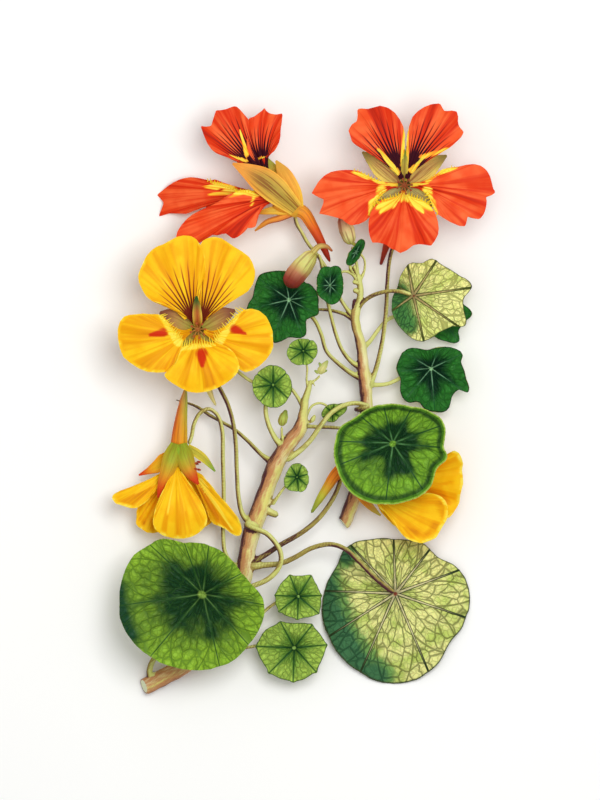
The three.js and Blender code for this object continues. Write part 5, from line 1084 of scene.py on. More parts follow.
fleshy = Finish("flower_cup", Roughness=0.45, Specular_IOR_Level=0.12, Subsurface_Weight=0.05,
                Subsurface_Scale=0.001)
tint = fleshy.trait("tint", "Color")
streak = fleshy.speckle(fleshy.scaled(fleshy.unrolled(), 7, 0.9), 1, 4)
striped = streak.rise(0.47, 0.57) * fleshy.trait("stripe")
colour = fleshy.mix(striped, fleshy.shaded(tint, 0.22, streak), fleshy.mix(0.7, tint, "7A2A14"))
colour = fleshy.shaded(colour, 0.1, fleshy.speckle(fleshy.place(), 420))
fleshy_cup = fleshy.done(colour, streak, 0.25)


def tone_along(tones, share):
    """A colour along a list of evenly spaced ones, or one colour."""
    if isinstance(tones, str):
        return Vector(tone(tones))
    spot = min(max(share, 0.0), 1.0) * (len(tones) - 1)
    i = min(int(spot), len(tones) - 2)
    return Vector(tone(tones[i])).lerp(Vector(tone(tones[i + 1])), spot - i)


def tinted(bm):
    """The layers of a piece that is coloured place by place: its colour, and how striped it is."""
    return bm.verts.layers.float_color.new("tint"), bm.verts.layers.float.new("stripe")


def painter(bm, layers, tones, stripe=0.0, far_side=None):
    """Colours a tube along its length, and towards another list of colours on its far side."""
    chart = unrolled_on(bm)

    def paint(vert, around, along):
        colour = tone_along(tones, along)
        if far_side:
            colour = colour.lerp(tone_along(far_side, along), 0.5 - 0.5 * math.sin(2 * math.pi * around))
        vert[layers[0]] = colour
        vert[layers[1]] = stripe
        for loop in vert.link_loops:
            loop[chart].uv = (2 * around, along)
    return paint


def calyx(flower, sepals, cup, spur, cup_tones, spur_tones, spur_far=None):
    """A flower's cup with its spur and sepals, and the colours along the cup and along both sides of the
    spur. A sepal has a middle line, half widths along it, how far it is cupped, colours for its middle,
    edge and tip, and how striped it is."""
    bm = bmesh.new()
    layers = tinted(bm)
    cup_paint = painter(bm, layers, cup_tones)
    spur_paint = painter(bm, layers, spur_tones, SPUR_STRIPE, spur_far)
    tube(bm, cup, *CUP_MESH, ribs=0.02, hollow=CUP_OPEN, wall=CUP_WALL, paint=cup_paint)
    tube(bm, spur, *SPUR_MESH, ribs=0.025, paint=spur_paint)
    for sepal in sepals:
        def paint(vert, u, v):
            tip = soft(v, 0.5, 0.95)
            colour = tone_along(sepal["middle"], v).lerp(tone_along(sepal["edge"], v), abs(u) ** 1.6)
            vert[layers[0]] = colour.lerp(Vector(tone(sepal["tip"])), tip)
            vert[layers[1]] = sepal["stripe"] * (1 - u ** 4) * (1 - tip)

        sheet = Sepal(sepal["line"], sepal["half"], sepal.get("cup", SEPAL_CUP))
        lay_sheet(bm, sheet, SEPAL_CELLS, SEPAL, paint)
    piece = settled(bm, flower.name + "_cup_and_sepals", fleshy_cup)
    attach(piece, "root")
    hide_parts(flower.name + "_calyx_and_spur")


def stamens(flower, centre, aim, length, thread_tone, head_tone):
    """Eight stamens with their pollen heads round one style, on a small disc."""
    bm = bmesh.new()
    layers = tinted(bm)
    turned = aligned(centre, aim)
    thread = painter(bm, layers, (head_tone, thread_tone, thread_tone, head_tone))

    def stalk(bends, sides, step):
        """A thread through [outwards along X, along Y, up, radius] as seen from the flower's middle."""
        route = [[*(turned @ Vector((x, y, up))), radius] for x, y, up, radius in bends]
        tube(bm, route, sides, step, paint=thread)

    stalk([[0, 0, -0.2, 0.9], [0, 0, 0.6, 1], [0, 0, 1.3, 0.5]], *DISC_MESH)
    for i in range(STAMENS):
        angle = i / STAMENS * 2 * math.pi
        reach = length * (0.8 if i % 2 else 1)
        c, s = math.cos(angle), math.sin(angle)
        bends = [(0.5, 0.3, 0.24), (1.3, 0.5 * reach, 0.22), (2.5, reach, 0.2)]
        stalk([[out * c, out * s, up, radius] for out, up, radius in bends], *THREAD_MESH)
        head = turned @ Matrix.Translation((HEAD_OUT * c, HEAD_OUT * s, reach + 0.3)) @ HEAD_SHAPE
        pollen = bmesh.ops.create_uvsphere(bm, u_segments=10, v_segments=7, radius=1, matrix=head)["verts"]
        for vert in pollen:
            vert[layers[0]] = tone(head_tone)
    stalk([[0, 0, 0.5, 0.26], [0, 0, length * 1.1, 0.18]], *STYLE_MESH)
    piece = settled(bm, flower.name + "_stamens_and_style", fleshy_cup)
    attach(piece, "root")
    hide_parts(flower.name + "_stamens")


# ---------------------------------------------------------------- yellow front flower
# An open flower that faces up, on its own stalk. Its soft petals stand in the mouth of the cup. Brown
# guide lines run up the two upper ones, and the three lower ones are fringed and carry a red spot.

flower = Flower("yellow_front_flower", yellow_silk, "yellow_petal", pleat=0.3, pleats=7)
side_sepal = dict(middle=("A8A840", "B4924C", "A06A48"), edge=("B8A040", "B88048", "8E5838"),
                  tip="86503A", stripe=0.6)
low_sepal = dict(middle="A89A3C", edge="C0B048", tip="A89030", stripe=0.5)
sepals = [
    dict(line=[[-37, 25.6, 20.4], [-37.1, 28.4, 24.6], [-37.3, 32, 26], [-37.5, 36.6, 26.4]],
         half=[0.9, 1.5, 1.6, 1.2, 0.3], cup=-0.2, middle="B8602C", edge="E8C848", tip="2E5A20", stripe=0.5),
    dict(line=[[-38.6, 25.6, 19.6], [-44.4, 28.9, 20.3], [-50.3, 30.8, 20.8]],
         half=[2.2, 3.4, 3.6, 2.4, 0.4], **side_sepal),
    dict(line=[[-35.4, 25.6, 19.6], [-29.6, 29.1, 20.3], [-23.9, 31.6, 20.8]],
         half=[2.2, 3.4, 3.6, 2.4, 0.4], **side_sepal),
    dict(line=[[-38.2, 23.4, 19.6], [-41.6, 19.4, 20], [-44.6, 16.2, 20.6]],
         half=[2.2, 2.8, 2.6, 1.6, 0.25], **low_sepal),
    dict(line=[[-35.8, 23.4, 19.6], [-32.4, 19.4, 20], [-29.4, 16.2, 20.6]],
         half=[2.2, 2.8, 2.6, 1.6, 0.25], **low_sepal),
]
calyx(flower, sepals,
      cup=[[-37, 24.6, 11.2, 1.5], [-37, 24.8, 14.5, 2.7], [-37, 25, 17.4, 3.8], [-37, 25, 19.4, 4.1]],
      spur=[[-36.8, 23.6, 15, 2.4], [-36.2, 19, 13.8, 2.2], [-35.3, 13, 12.8, 1.8], [-34, 7, 12.2, 1.4],
          [-32.4, 2, 11.8, 0.9], [-30.6, -1.9, 11.4, 0.35]],
      cup_tones=("A8A838", "B89838", "9A6A2C"), spur_tones=("E8A838", "E8C860", "DDD890"))
stamens(flower, (-37, 25, 21), (0.02, -0.1, 1), 5, "D8A050", "B85A34")
flower.petal("upper_left", pivot=(-39.5, 30),
    line=[[-38, 27.1, 21.2], [-40.2, 33, 22.8], [-44.3, 44.5, 25], [-48.3, 56.2, 23.8]],
    margin=[(-41.5, 28.3), (-43.6, 30.4), (-45.6, 32.2), (-48, 33.6), (-51, 34.4), (-53.3, 35),
        (-55.1, 36.5), (-56.4, 38.8), (-57.6, 41.4), (-57.9, 43.9), (-57, 46.3), (-56, 48.5), (-55, 50.6),
        (-53.1, 52.7), (-51.2, 54), (-49, 54.7), (-47, 55.9), (-44.6, 57.2), (-42, 57.8), (-39.4, 57.6),
        (-37.5, 56.5), (-36, 54.3), (-34.8, 51.5), (-34.2, 48.5), (-34.4, 45.5), (-35.3, 42), (-36.4, 38),
        (-37, 34), (-37.4, 30.5)],
    cup=0.02, wave=0.5, deep=(1, 0.4, 0.3), edge_gold=0.55, guide=(0.34, 0.86))
flower.petal("upper_right", pivot=(-34.8, 29.5),
    line=[[-36, 27.1, 21.2], [-33.8, 33, 22.4], [-29.5, 44, 23.4], [-25.5, 54.8, 22]],
    margin=[(-36.7, 30.5), (-37.2, 35), (-37.6, 40), (-37.6, 45), (-37.3, 50), (-36.4, 54), (-35.2, 56),
        (-33.2, 57), (-31, 57.3), (-28.7, 56.8), (-26.4, 55.4), (-24.2, 53.8), (-21.5, 52.2), (-19, 50.3),
        (-17.7, 48), (-16.9, 45.4), (-17, 43), (-17.8, 40.5), (-19.3, 38.4), (-21.8, 36.9), (-25.4, 35.2),
        (-28.6, 33.6), (-31, 32), (-32.6, 30.2), (-33.8, 28.2)],
    wave=0.5, deep=(1, 0.4, 0.3), edge_gold=0.55, guide=(0.34, 0.85))
flower.petal("left", pivot=(-43.5, 21.8),
    line=[[-39.2, 24.6, 21.2], [-44.5, 23.3, 23.6], [-54, 21.6, 24.9], [-65.3, 21, 23.3]],
    margin=[(-45.6, 25.2), (-47.4, 27.5), (-49.2, 29.4), (-51, 30.3), (-53.3, 30.2), (-56, 30.5),
        (-58.5, 30.2), (-61, 30), (-63, 29.3), (-64.3, 27.5), (-65, 25), (-64.9, 21.5), (-64.3, 18.4),
        (-63, 15.2), (-60.2, 12.9), (-57.4, 11.1), (-54.7, 10.1), (-51.4, 9.8), (-48.4, 9.9), (-46.4, 11),
        (-44.6, 13.2), (-43.4, 15.8), (-42.9, 18.6)],
    cup=-0.02, wave=0.4, deep=(0.1, 0.3, 0.4), edge_gold=0.6, golds=[((-43.8, 20.5), (-50, 29.3), 1.4)],
    shade_patches=[((-40.6, 23.4), (-42.4, 21.6), 1.2)], spots=[((-49.2, 23.8), (-54, 22.9), 1.6)],
    lashes=[((-50.4, 29.8), (-43.4, 20.8), 14, 2.6, (20, 62))])
flower.petal("right", pivot=(-30.3, 21.3),
    line=[[-34.8, 24.6, 21.2], [-29.5, 23.7, 21.8], [-20.5, 21.5, 22.8], [-10.4, 19.8, 21.3]],
    margin=[(-28.6, 22.6), (-26.8, 25.2), (-25, 27.7), (-23.2, 30.1), (-21, 31.7), (-18.2, 32.2),
        (-15.4, 31.4), (-13, 29.4), (-11.8, 27), (-10.8, 24.3), (-10.7, 21.6), (-10.5, 19), (-11.4, 16.7),
        (-13, 14.4), (-15.3, 12.2), (-17.9, 10.6), (-20.3, 9.9), (-22.6, 11), (-24.6, 13.4), (-26.6, 16),
        (-28.6, 18.2)],
    cup=-0.02, wave=0.4, deep=(0.1, 0.3, 0.4), edge_gold=0.6, golds=[((-29.6, 20.5), (-22.6, 30.3), 1.4)],
    shade_patches=[((-33, 23.6), (-31.2, 21.8), 1.2)], spots=[((-24, 25), (-20.4, 23.4), 1.7)],
    lashes=[((-30.6, 20.6), (-20.6, 31.8), 16, 3, (112, 150))])
flower.petal("lower", pivot=(-37, 20),
    line=[[-37, 22.9, 21.2], [-36.6, 18, 23.9], [-35.8, 11, 26], [-35.5, 2.4, 24.6]],
    margin=[(-40.5, 19.4), (-42.6, 18.6), (-43.6, 16), (-44.6, 13.4), (-46.2, 11.2), (-48, 9.9),
        (-48.8, 8.9), (-47.9, 7.6), (-46, 6.2), (-43.2, 4.5), (-40.3, 3.1), (-37.2, 2.7), (-33.4, 3.2),
        (-30.2, 4.4), (-27.5, 5.8), (-25.2, 7.5), (-23.3, 9.4), (-22.3, 11.6), (-22.8, 14), (-24.2, 16.7),
        (-26.6, 18.8), (-29.8, 20.2), (-33.2, 19.6)],
    cup=0.02, wave=0.3, deep=(0.1, 0.3, 0.4), edge_gold=0.6, golds=[((-42.4, 18.6), (-31, 19.4), 1.2)],
    shade_patches=[((-39.6, 21.6), (-34, 21.6), 1.8)], spots=[((-35.6, 16.2), (-35.4, 12), 2.1)],
    lashes=[((-42.8, 19), (-31.6, 19.4), 13, 3, (76, 104))])

# ---------------------------------------------------------------- yellow hanging flower
# A flower that hangs from its stalk with its spur up, its back turned up. The soft petals grow out of
# the cup between the green sepals, and the front one fans out over the others.

flower = Flower("yellow_hanging_flower", yellow_silk, "yellow_petal", pleat=0.3, pleats=7)
sepals = [
    dict(line=[[-44.6, -15.2, 13.4], [-45.8, -19, 15.4], [-47.6, -24.5, 16], [-49.6, -29.5, 15.6],
             [-50.8, -33.9, 14.8]], half=[1.7, 2.9, 2.4, 1.4, 0.3], cup=-0.45,
         middle=("8CA828", "A4AC2C", "F0A420", "E8701A"), edge=("9AA428", "D09A24", "E8641A"), tip="CE3A10",
         stripe=0.5),
    dict(line=[[-42.6, -15.2, 13.5], [-41.8, -19, 15.6], [-40.4, -23, 16.4], [-38.6, -26.6, 16.6],
             [-36.8, -29.3, 16.4]], half=[1.7, 3, 2.8, 1.8, 0.3], cup=-0.45,
         middle=("8CA828", "A0AA2C", "DCA024", "E8701A"), edge=("9AA428", "B89A26", "E8641A"), tip="CE3A10",
         stripe=0.5),
    dict(line=[[-46.2, -18.6, 11.4], [-49.6, -22, 10.8], [-53, -24, 9.6], [-57.6, -26.1, 8.6]],
         half=[1.6, 2.8, 2.2, 1.1, 0.25], middle="F2BC20", edge="F0A020", tip="E0481A", stripe=0.2),
    dict(line=[[-40.6, -16.4, 11.6], [-37.4, -18.4, 11.4], [-35, -20.2, 11], [-30.9, -24.8, 9.8]],
         half=[1.2, 1.5, 1.4, 0.9, 0.25], middle="C8C040", edge="E8D040", tip="8FB040", stripe=0.3),
    dict(line=[[-43, -19.6, 6.6], [-42.6, -25, 4.6], [-42.2, -31, 3.6]], half=[2.2, 2.8, 2.4, 1.4, 0.25],
         middle="C8B040", edge="E8A020", tip="E0481A", stripe=0.1),
]
calyx(flower, sepals,
      cup=[[-43.5, -14.8, 10.6, 2.9], [-43.5, -17.2, 10.6, 4.1], [-43.3, -20.5, 10.6, 4.7],
          [-43.3, -22, 10.6, 4.5]],
      spur=[[-43.6, -16.5, 10.6, 3.1], [-43.2, -10.5, 10.7, 2.6], [-42.6, -5, 10.8, 2],
          [-41.9, 0, 10.9, 1.4], [-41.2, 4.2, 11, 0.5]],
      cup_tones=("8FB02A", "8CA82A", "A8B038"), spur_tones=("F0A81E", "D8B830", "A8B840", "B8C868"),
      spur_far=("E8801A", "E0601A", "D8682A", "D8A058"))
stamens(flower, (-42.4, -22.9, 12.4), (1, -0.22, 0.22), 5.2, "E8C040", "A8402A")
flower.petal("front", pivot=(-44.6, -25.5),
    line=[[-44.2, -22.9, 13.9], [-44.2, -30, 16.4], [-43.3, -39, 18], [-43, -48.5, 16]],
    margin=[(-45.6, -24.6), (-46.6, -26.6), (-47.8, -28.9), (-49.2, -31.7), (-50.6, -34.6), (-51.8, -37.8),
        (-52.5, -41), (-52.7, -43), (-52, -44.8), (-50.7, -46.1), (-49.2, -47.2), (-47.1, -47.8),
        (-44.9, -48.3), (-42, -48.3), (-39.2, -47.7), (-37, -46.5), (-35.2, -45), (-33.9, -43.2),
        (-33.6, -41.1), (-34.5, -38.2), (-35.9, -35.3), (-37.7, -32.4), (-39.5, -29.5), (-41.2, -27),
        (-42.8, -24.6)],
    cup=-0.12, wave=0.3, deep=(0, 0.9, 0.3), edge_gold=0.8,
    golds=[((-45, -26), (-47.6, -40), 1.4, 0.4), ((-43.9, -26), (-41.4, -39), 1.3, 0.35)])
flower.petal("upper_left", pivot=(-50, -27),
    line=[[-46.2, -22.9, 11.6], [-51.5, -28, 12.2], [-58.8, -32, 12.8], [-67.2, -33.6, 12]],
    margin=[(-51, -26.4), (-53.6, -28.2), (-56.4, -29.5), (-58.8, -30.1), (-62.2, -31), (-65, -32),
        (-66.7, -33), (-67, -34.3), (-65.8, -36), (-63, -36.9), (-60.4, -37.7), (-58.2, -37.6),
        (-55.4, -35.8), (-52.6, -32.6), (-50.6, -29.6)],
    lean=-0.25, deep=(0, 0.8, 0.35), edge_gold=0.7, golds=[((-52, -28.6), (-59, -32.6), 1, 0.4)])
flower.petal("lower_left", pivot=(-48.4, -29),
    line=[[-45.2, -22.7, 8.6], [-50, -30.5, 8.4], [-54.2, -38, 8.6], [-57, -45.4, 8]],
    margin=[(-50.6, -30), (-54, -32.6), (-57.4, -35.8), (-58.4, -38.8), (-58.4, -41.1), (-58.7, -43),
        (-57.8, -44.2), (-56.4, -45.1), (-54.8, -46.2), (-52.6, -46.4), (-50.4, -46), (-48.6, -43),
        (-47.6, -38), (-47.4, -33)],
    wave=0.9, waves=4, deep=(0.1, 0.7, 0.35), edge_gold=0.6,
    shade_patches=[((-56.6, -41.4), (-55.6, -43.4), 0.9), ((-53, -42), (-52, -45.4), 0.9)])
flower.petal("right", pivot=(-37.6, -26.6),
    line=[[-40.8, -22.9, 9.8], [-36.4, -29.8, 10.6], [-30, -38.5, 12.2], [-21.8, -46.8, 12.6]],
    margin=[(-36.8, -25.2), (-35.4, -26), (-33.9, -27.9), (-31.9, -30.2), (-29.7, -33), (-27.3, -35.7),
        (-25, -38.2), (-22.9, -41), (-21.8, -43.6), (-21.5, -45.8), (-22.1, -47.2), (-23.4, -47.4),
        (-25.2, -46.5), (-27, -45.1), (-29.2, -44), (-31.4, -43.2), (-32.8, -41.6), (-33.4, -38.4),
        (-34.8, -34.6), (-36.4, -31.2), (-37.6, -28.6)],
    lean=-0.5, deep=(0, 0.7, 0.25), edge_gold=0.8, golds=[((-36, -28), (-24.4, -45.5), 0.9)],
    shade_patches=[((-35.6, -31), (-34, -35), 0.7), ((-34.2, -34), (-31.8, -38.4), 0.7),
        ((-32.4, -37), (-29.6, -41.4), 0.7)], lashes=[((-36, -28.6), (-34, -32), 4, 1.1, (205, 225))])
flower.petal("behind", pivot=(-41.6, -26.6),
    line=[[-42.8, -22.7, 7.5], [-40.4, -30, 5.4], [-37, -38, 4.4], [-35, -44.6, 4.6]],
    margin=[(-38, -28.3), (-33.7, -31.8), (-31, -36.7), (-30.6, -40.5), (-31.3, -41.8), (-33.1, -43.4),
        (-35, -44.6), (-37.7, -44.8), (-40.6, -44.4), (-42.1, -43.7), (-43.6, -41.1), (-44.3, -36.6),
        (-43.7, -30.3)],
    cup=0.05, wave=0.3, deep=(0.3, 0.5, 0.5), edge_gold=0.6)

# ---------------------------------------------------------------- yellow side flower
# A flower that lies on its side, half under the cupped leaf. Its soft petals grow out of the cup, and
# one of them is hollow like a spoon.

flower = Flower("yellow_side_flower", yellow_silk, "yellow_petal", pleat=0.25, pleats=6)
gold_sepal = dict(middle="EE9A20", edge="F0B838", tip="E0681A", stripe=0.2)
sepals = [
    dict(line=[[17.6, -27, 12.6], [20, -33, 11.6], [23.2, -36.9, 11.4], [27, -40.3, 11.2]],
         half=[1.8, 1.8, 1.5, 1.1, 0.25], middle="EE8A20", edge="F0A838", tip="B0A040", stripe=0.2),
    dict(line=[[18.6, -24.6, 16.6], [23.4, -26.4, 18.4], [28.8, -27.6, 18.9]],
         half=[2, 2.6, 2.4, 1.4, 0.25], **gold_sepal),
    dict(line=[[19, -22, 14.8], [24.6, -17.2, 15.9], [30, -15, 16.3]], half=[1.8, 2, 1.8, 1.1, 0.25],
         **gold_sepal),
    dict(line=[[19.8, -24.2, 10.4], [25, -22.6, 7.8], [31, -21.8, 6.6]], half=[2, 2.4, 2.2, 1.3, 0.25],
         **gold_sepal),
    dict(line=[[18.2, -27.3, 10.6], [22.4, -31.2, 7.8], [26.8, -35.2, 5.6]], half=[1.8, 2.2, 2, 1.2, 0.25],
         **gold_sepal),
]
calyx(flower, sepals,
      cup=[[13.6, -22, 12.8, 1.6], [15.4, -23, 13, 3], [17.8, -24.5, 13.3, 3.9], [20.3, -25.9, 13.6, 4.1]],
      spur=[[15.4, -22.8, 13.2, 2.6], [11.6, -25.6, 13.6, 2.1], [8.6, -29.9, 13.5, 1.7],
          [5.6, -34.6, 13.2, 1.3], [2.7, -39.4, 12.8, 0.4]],
      cup_tones=("B0A038", "E8A030", "F0A830"), spur_tones=("F0701A", "EE8A20", "B8B83A", "7A9A3A"))
stamens(flower, (20.9, -26.2, 13.7), (0.86, -0.5, 0.05), 6, "E8C040", "A8402A")
flower.petal("spoon", pivot=(27, -35.6),
    line=[[19.9, -28.4, 13.8], [26.6, -34.2, 14.6], [36, -40.4, 15.6], [47, -46, 18.6]],
    margin=[(28.6, -35), (31.6, -35), (34.7, -34.5), (37.6, -33.8), (40.2, -33.1), (43, -32.4),
        (45.7, -32.6), (48.1, -33.5), (49.7, -35.1), (50.5, -37.3), (50.6, -39.8), (50, -42), (48.8, -43.9),
        (47.7, -45.8), (46.5, -48), (44.1, -49.1), (41.5, -50), (38.7, -49.4), (36.2, -48.4), (34.7, -47),
        (33.6, -45.3), (32.6, -43.4), (31.4, -41.6), (30, -40.2), (28.2, -38.8), (26.6, -37.6)],
    cup=0.2, deep=(0.3, 0.5, 0.2), edge_gold=1, guide=(0, 0.6),
    shade_patches=[((48.6, -36.5), (48.6, -41), 1.4), ((46.4, -44), (43, -46.8), 1.7),
        ((38.6, -46.8), (35.5, -44.5), 1.6)])
flower.petal("ruffled", pivot=(34, -27.8),
    line=[[21.6, -26.8, 11.3], [32, -27.6, 9.6], [44, -28.6, 10], [55.8, -29.5, 12.6]],
    margin=[(37, -23.6), (41, -20.6), (46, -19.4), (49.6, -19.2), (51.4, -18.4), (52.8, -17.5),
        (54.3, -18.2), (55.2, -19.7), (55.9, -22.1), (55.5, -24.4), (55.8, -26.4), (55.9, -29),
        (55.3, -31.3), (54.8, -33.4), (54.6, -35.8), (53.5, -37.7), (52.4, -39.4), (51.3, -40.8),
        (49.6, -41.4), (46, -39.6), (41, -35.6), (37, -31.8)],
    cup=0.04, wave=1, deep=(0.5, 0.6, 0.1), edge_gold=0.9,
    shade_patches=[((44.5, -31), (51.5, -28.6), 1.4), ((46, -31), (50.6, -36), 2.2)])
flower.petal("upper", pivot=(26.2, -23),
    line=[[22.4, -24.5, 13.4], [29.6, -21.8, 13], [38.4, -19.4, 14.2], [45.8, -18.6, 15.6]],
    margin=[(28, -19.6), (32.6, -15.5), (38.1, -12.9), (42.3, -12.9), (43.6, -13.9), (45.1, -16.3),
        (45.8, -18.6), (45.6, -21.2), (44.4, -24.1), (43.3, -25.4), (40.4, -26.2), (35.4, -25.7),
        (29.6, -24.5)],
    cup=0.05, deep=(0.6, 0.7, 0.3), edge_gold=1)
flower.petal("top", pivot=(24.7, -26.8),
    line=[[21.3, -26, 15.8], [27.6, -27.4, 16.6], [34, -27.8, 17.8], [39.4, -28, 18.4]],
    margin=[(27.3, -25.2), (31, -23.9), (34.8, -23.2), (37.3, -23.6), (37.9, -24.2), (38.9, -26.2),
        (39.3, -28), (38.7, -29.8), (37.6, -31.6), (37, -32.3), (34.4, -32.5), (30.7, -31.5),
        (26.6, -29.4)],
    deep=(0.6, 0.7, 0.3), edge_gold=1)
flower.petal("lower", pivot=(23.9, -30.6),
    line=[[20.2, -28, 11.2], [27, -32.8, 8.2], [34, -37.6, 6], [41.4, -42, 5.4]],
    margin=[(27.8, -30.2), (33.4, -31), (38.1, -32.6), (41.3, -34.9), (42.1, -36.5), (42.3, -39.5),
        (41.4, -42), (39.6, -44), (37, -45.3), (35.2, -45.5), (31.3, -43.5), (27.5, -39.4), (24.8, -34.5)],
    cup=0.04, deep=(0.6, 0.7, 0.4), edge_gold=0.8)

# ---------------------------------------------------------------- red front flower
# An open flower that faces up, with soft toothed petals in the mouth of its cup. Dark guide lines run
# together at the claws of the two upper ones, and the lower three have yellow flames and fringes.

flower = Flower("red_front_flower", red_silk, "red_petal", pleat=0.35, pleats=7)
side_sepal = dict(middle="C09C54", edge="F6E068", tip="8A7A3C", stripe=0.9)
low_sepal = dict(middle="B0A868", edge="E0D068", tip="8A8A48", stripe=0.7)
sepals = [
    dict(line=[[35.3, 77, 20.6], [35.3, 79.4, 22.6], [35.4, 83, 24], [35.4, 88, 24.2]],
         half=[0.8, 1.1, 1.1, 0.8, 0.2], cup=-0.2, middle="A8903C", edge="E0C848", tip="6A8030", stripe=0.5),
    dict(line=[[33.6, 76.4, 20.2], [27.4, 81.9, 21.2], [20.6, 87, 22]], half=[2.1, 3.7, 3.8, 2.3, 0.25],
         **side_sepal),
    dict(line=[[37.1, 76.4, 20.2], [43.6, 81.8, 21.2], [50.2, 85.8, 22]], half=[2.1, 3.7, 3.8, 2.3, 0.25],
         **side_sepal),
    dict(line=[[33.8, 74.4, 20.2], [29.4, 71.4, 21], [24.6, 67.6, 21.6]], half=[2.1, 2.7, 2.5, 1.6, 0.25],
         **low_sepal),
    dict(line=[[36.9, 74.4, 20.2], [41.4, 71.4, 21], [46.2, 67.6, 21.6]], half=[2.1, 2.7, 2.5, 1.6, 0.25],
         **low_sepal),
]
calyx(flower, sepals,
      cup=[[35.2, 75.2, 11.2, 1.5], [35.3, 75.4, 14.5, 2.7], [35.3, 75.5, 17.6, 3.8],
          [35.3, 75.5, 20, 4.1]],
      spur=[[35, 74, 15, 2.6], [33.6, 68.4, 12.6, 2.4], [31.4, 61.8, 9.4, 1.9], [29.2, 54.6, 6, 1.3],
          [27, 47.4, 0.3, 0.45]],
      cup_tones=("A89838", "A88838", "8A5A30"), spur_tones=("D86A30", "C8502A", "B83A24", "8A2418"))
stamens(flower, (35.3, 75.5, 22), (0.02, -0.1, 1), 5, "C87A48", "9A4A30")
flower.petal("upper_left", pivot=(33.2, 81),
    line=[[34.35, 77.6, 22.2], [31.4, 84, 24], [27.4, 92.5, 26], [23.2, 103.2, 24.6]],
    margin=[(31.4, 81.6), (29.6, 84), (27.4, 86.8), (25.4, 88.6), (22.2, 88.4), (18.8, 89.3), (17, 90.6),
        (16.3, 92.9), (15.7, 94.6), (17, 96.7), (18.7, 97.7), (19, 99.8), (18.9, 102), (20.4, 102.3),
        (22.4, 102), (24.6, 102.6), (26.9, 103.2), (29.6, 102.5), (31.9, 100.9), (33.6, 98.6), (34.9, 96),
        (35.5, 93), (35.3, 89), (35, 85.5), (34.7, 82)],
    wave=0.5, deep=(1, 0.6, 0.35), guide=(0.52, 0.94),
    golds=[((32.8, 80), (26.2, 88.2), 1), ((34.8, 82.5), (35.4, 96), 0.9)])
flower.petal("upper_right", pivot=(36.9, 81),
    line=[[36.25, 77.6, 22.2], [38.9, 84, 23.8], [43.5, 93, 25.6], [48.4, 103.9, 24.2]],
    margin=[(35.8, 82), (36, 86), (36.2, 90), (36.5, 93.5), (37, 96), (38.3, 99.5), (40.2, 101.4),
        (42.5, 102.9), (45, 103.8), (47.8, 104), (48.6, 102.5), (49.3, 101.4), (50.5, 101.3), (52.1, 101.5),
        (53.6, 101.2), (54.1, 99.6), (54, 97.8), (54.3, 96.3), (55.1, 95.1), (56.1, 94.2), (55.6, 92.8),
        (54.3, 91.3), (52.6, 89.7), (50.8, 88.4), (47.5, 87), (44, 86.4), (41.6, 85.2), (39.6, 83.2),
        (38.2, 81.2)],
    wave=0.5, deep=(1, 0.6, 0.35), guide=(0.52, 0.94),
    golds=[((35.8, 82.5), (36.6, 96), 0.9), ((37.8, 80.6), (42.6, 85.6), 0.9),
        ((41.4, 85.2), (51, 88.4), 0.9)])
flower.petal("left", pivot=(26.5, 75),
    line=[[33.1, 75.4, 22.2], [26, 74.8, 23.6], [15.5, 73, 24.8], [2.6, 71.6, 23]],
    margin=[(28, 76.4), (24.5, 77.6), (21.5, 79.2), (19, 80.4), (15.5, 80.8), (12, 80.5), (9.6, 80),
        (7.4, 78.8), (5.4, 76.8), (4.1, 74.8), (2.9, 72.6), (5, 71.3), (7.2, 70.4), (6.9, 68.8),
        (6.2, 67.2), (5.5, 65.5), (8, 65), (11, 64.2), (13.7, 63.4), (15.2, 62), (16.8, 61.3), (19.6, 61.8),
        (21.8, 63), (23.2, 64.4), (23.4, 66.6), (24.6, 69), (26, 71), (27, 72.9), (27.8, 74.2)],
    wave=0.4, deep=(1, 0.6, 0.3),
    golds=[((33, 75.4), (26.5, 75.8), 0.6), ((27.5, 76.4), (22.5, 78.4), 1),
        ((22.5, 78.6), (17.5, 79.8), 1.1), ((27.3, 73.6), (25, 69.5), 1.5), ((24.6, 69), (23.2, 65), 1.6)],
    lashes=[((27, 73), (23.2, 65), 9, 1.6, (-15, -40)), ((26, 77), (18, 80.4), 8, 1.1, (70, 85))])
flower.petal("right", pivot=(44, 75.2),
    line=[[37.5, 75.4, 22.2], [44, 75, 23.4], [54.5, 72.6, 24.4], [67.5, 71.6, 22.8]],
    margin=[(42.4, 76.8), (45, 77.8), (46.8, 79.4), (48.4, 80.9), (51, 81.5), (54, 81.8), (57, 82.5),
        (59.8, 82.8), (62.1, 82.2), (64, 80.8), (65.3, 78.6), (66, 76), (66.4, 74.2), (67.3, 72.9),
        (65.8, 71.8), (63.8, 71.3), (64.2, 69.8), (63.9, 67.5), (63.2, 65.4), (61.7, 63.4), (59.4, 63.8),
        (57.4, 64.4), (57.1, 62.7), (56.7, 61), (54.6, 61.1), (52, 62.2), (49.2, 63.8), (47, 65.2),
        (45.6, 67.2), (44.5, 70), (43.6, 72.6), (42.8, 74)],
    wave=0.4, deep=(1, 0.6, 0.3),
    golds=[((37.5, 75.4), (43.5, 76), 0.6), ((43.6, 77.3), (47.2, 80), 1),
        ((47.2, 80.3), (53.6, 81.2), 1.1), ((43.4, 73.4), (45, 69.2), 1.5),
        ((45, 69.2), (46.8, 65.8), 1.2)],
    lashes=[((43.4, 73), (46.8, 65.4), 9, 1.6, (195, 220)), ((45, 77.8), (53, 81.8), 8, 1.1, (110, 95))])
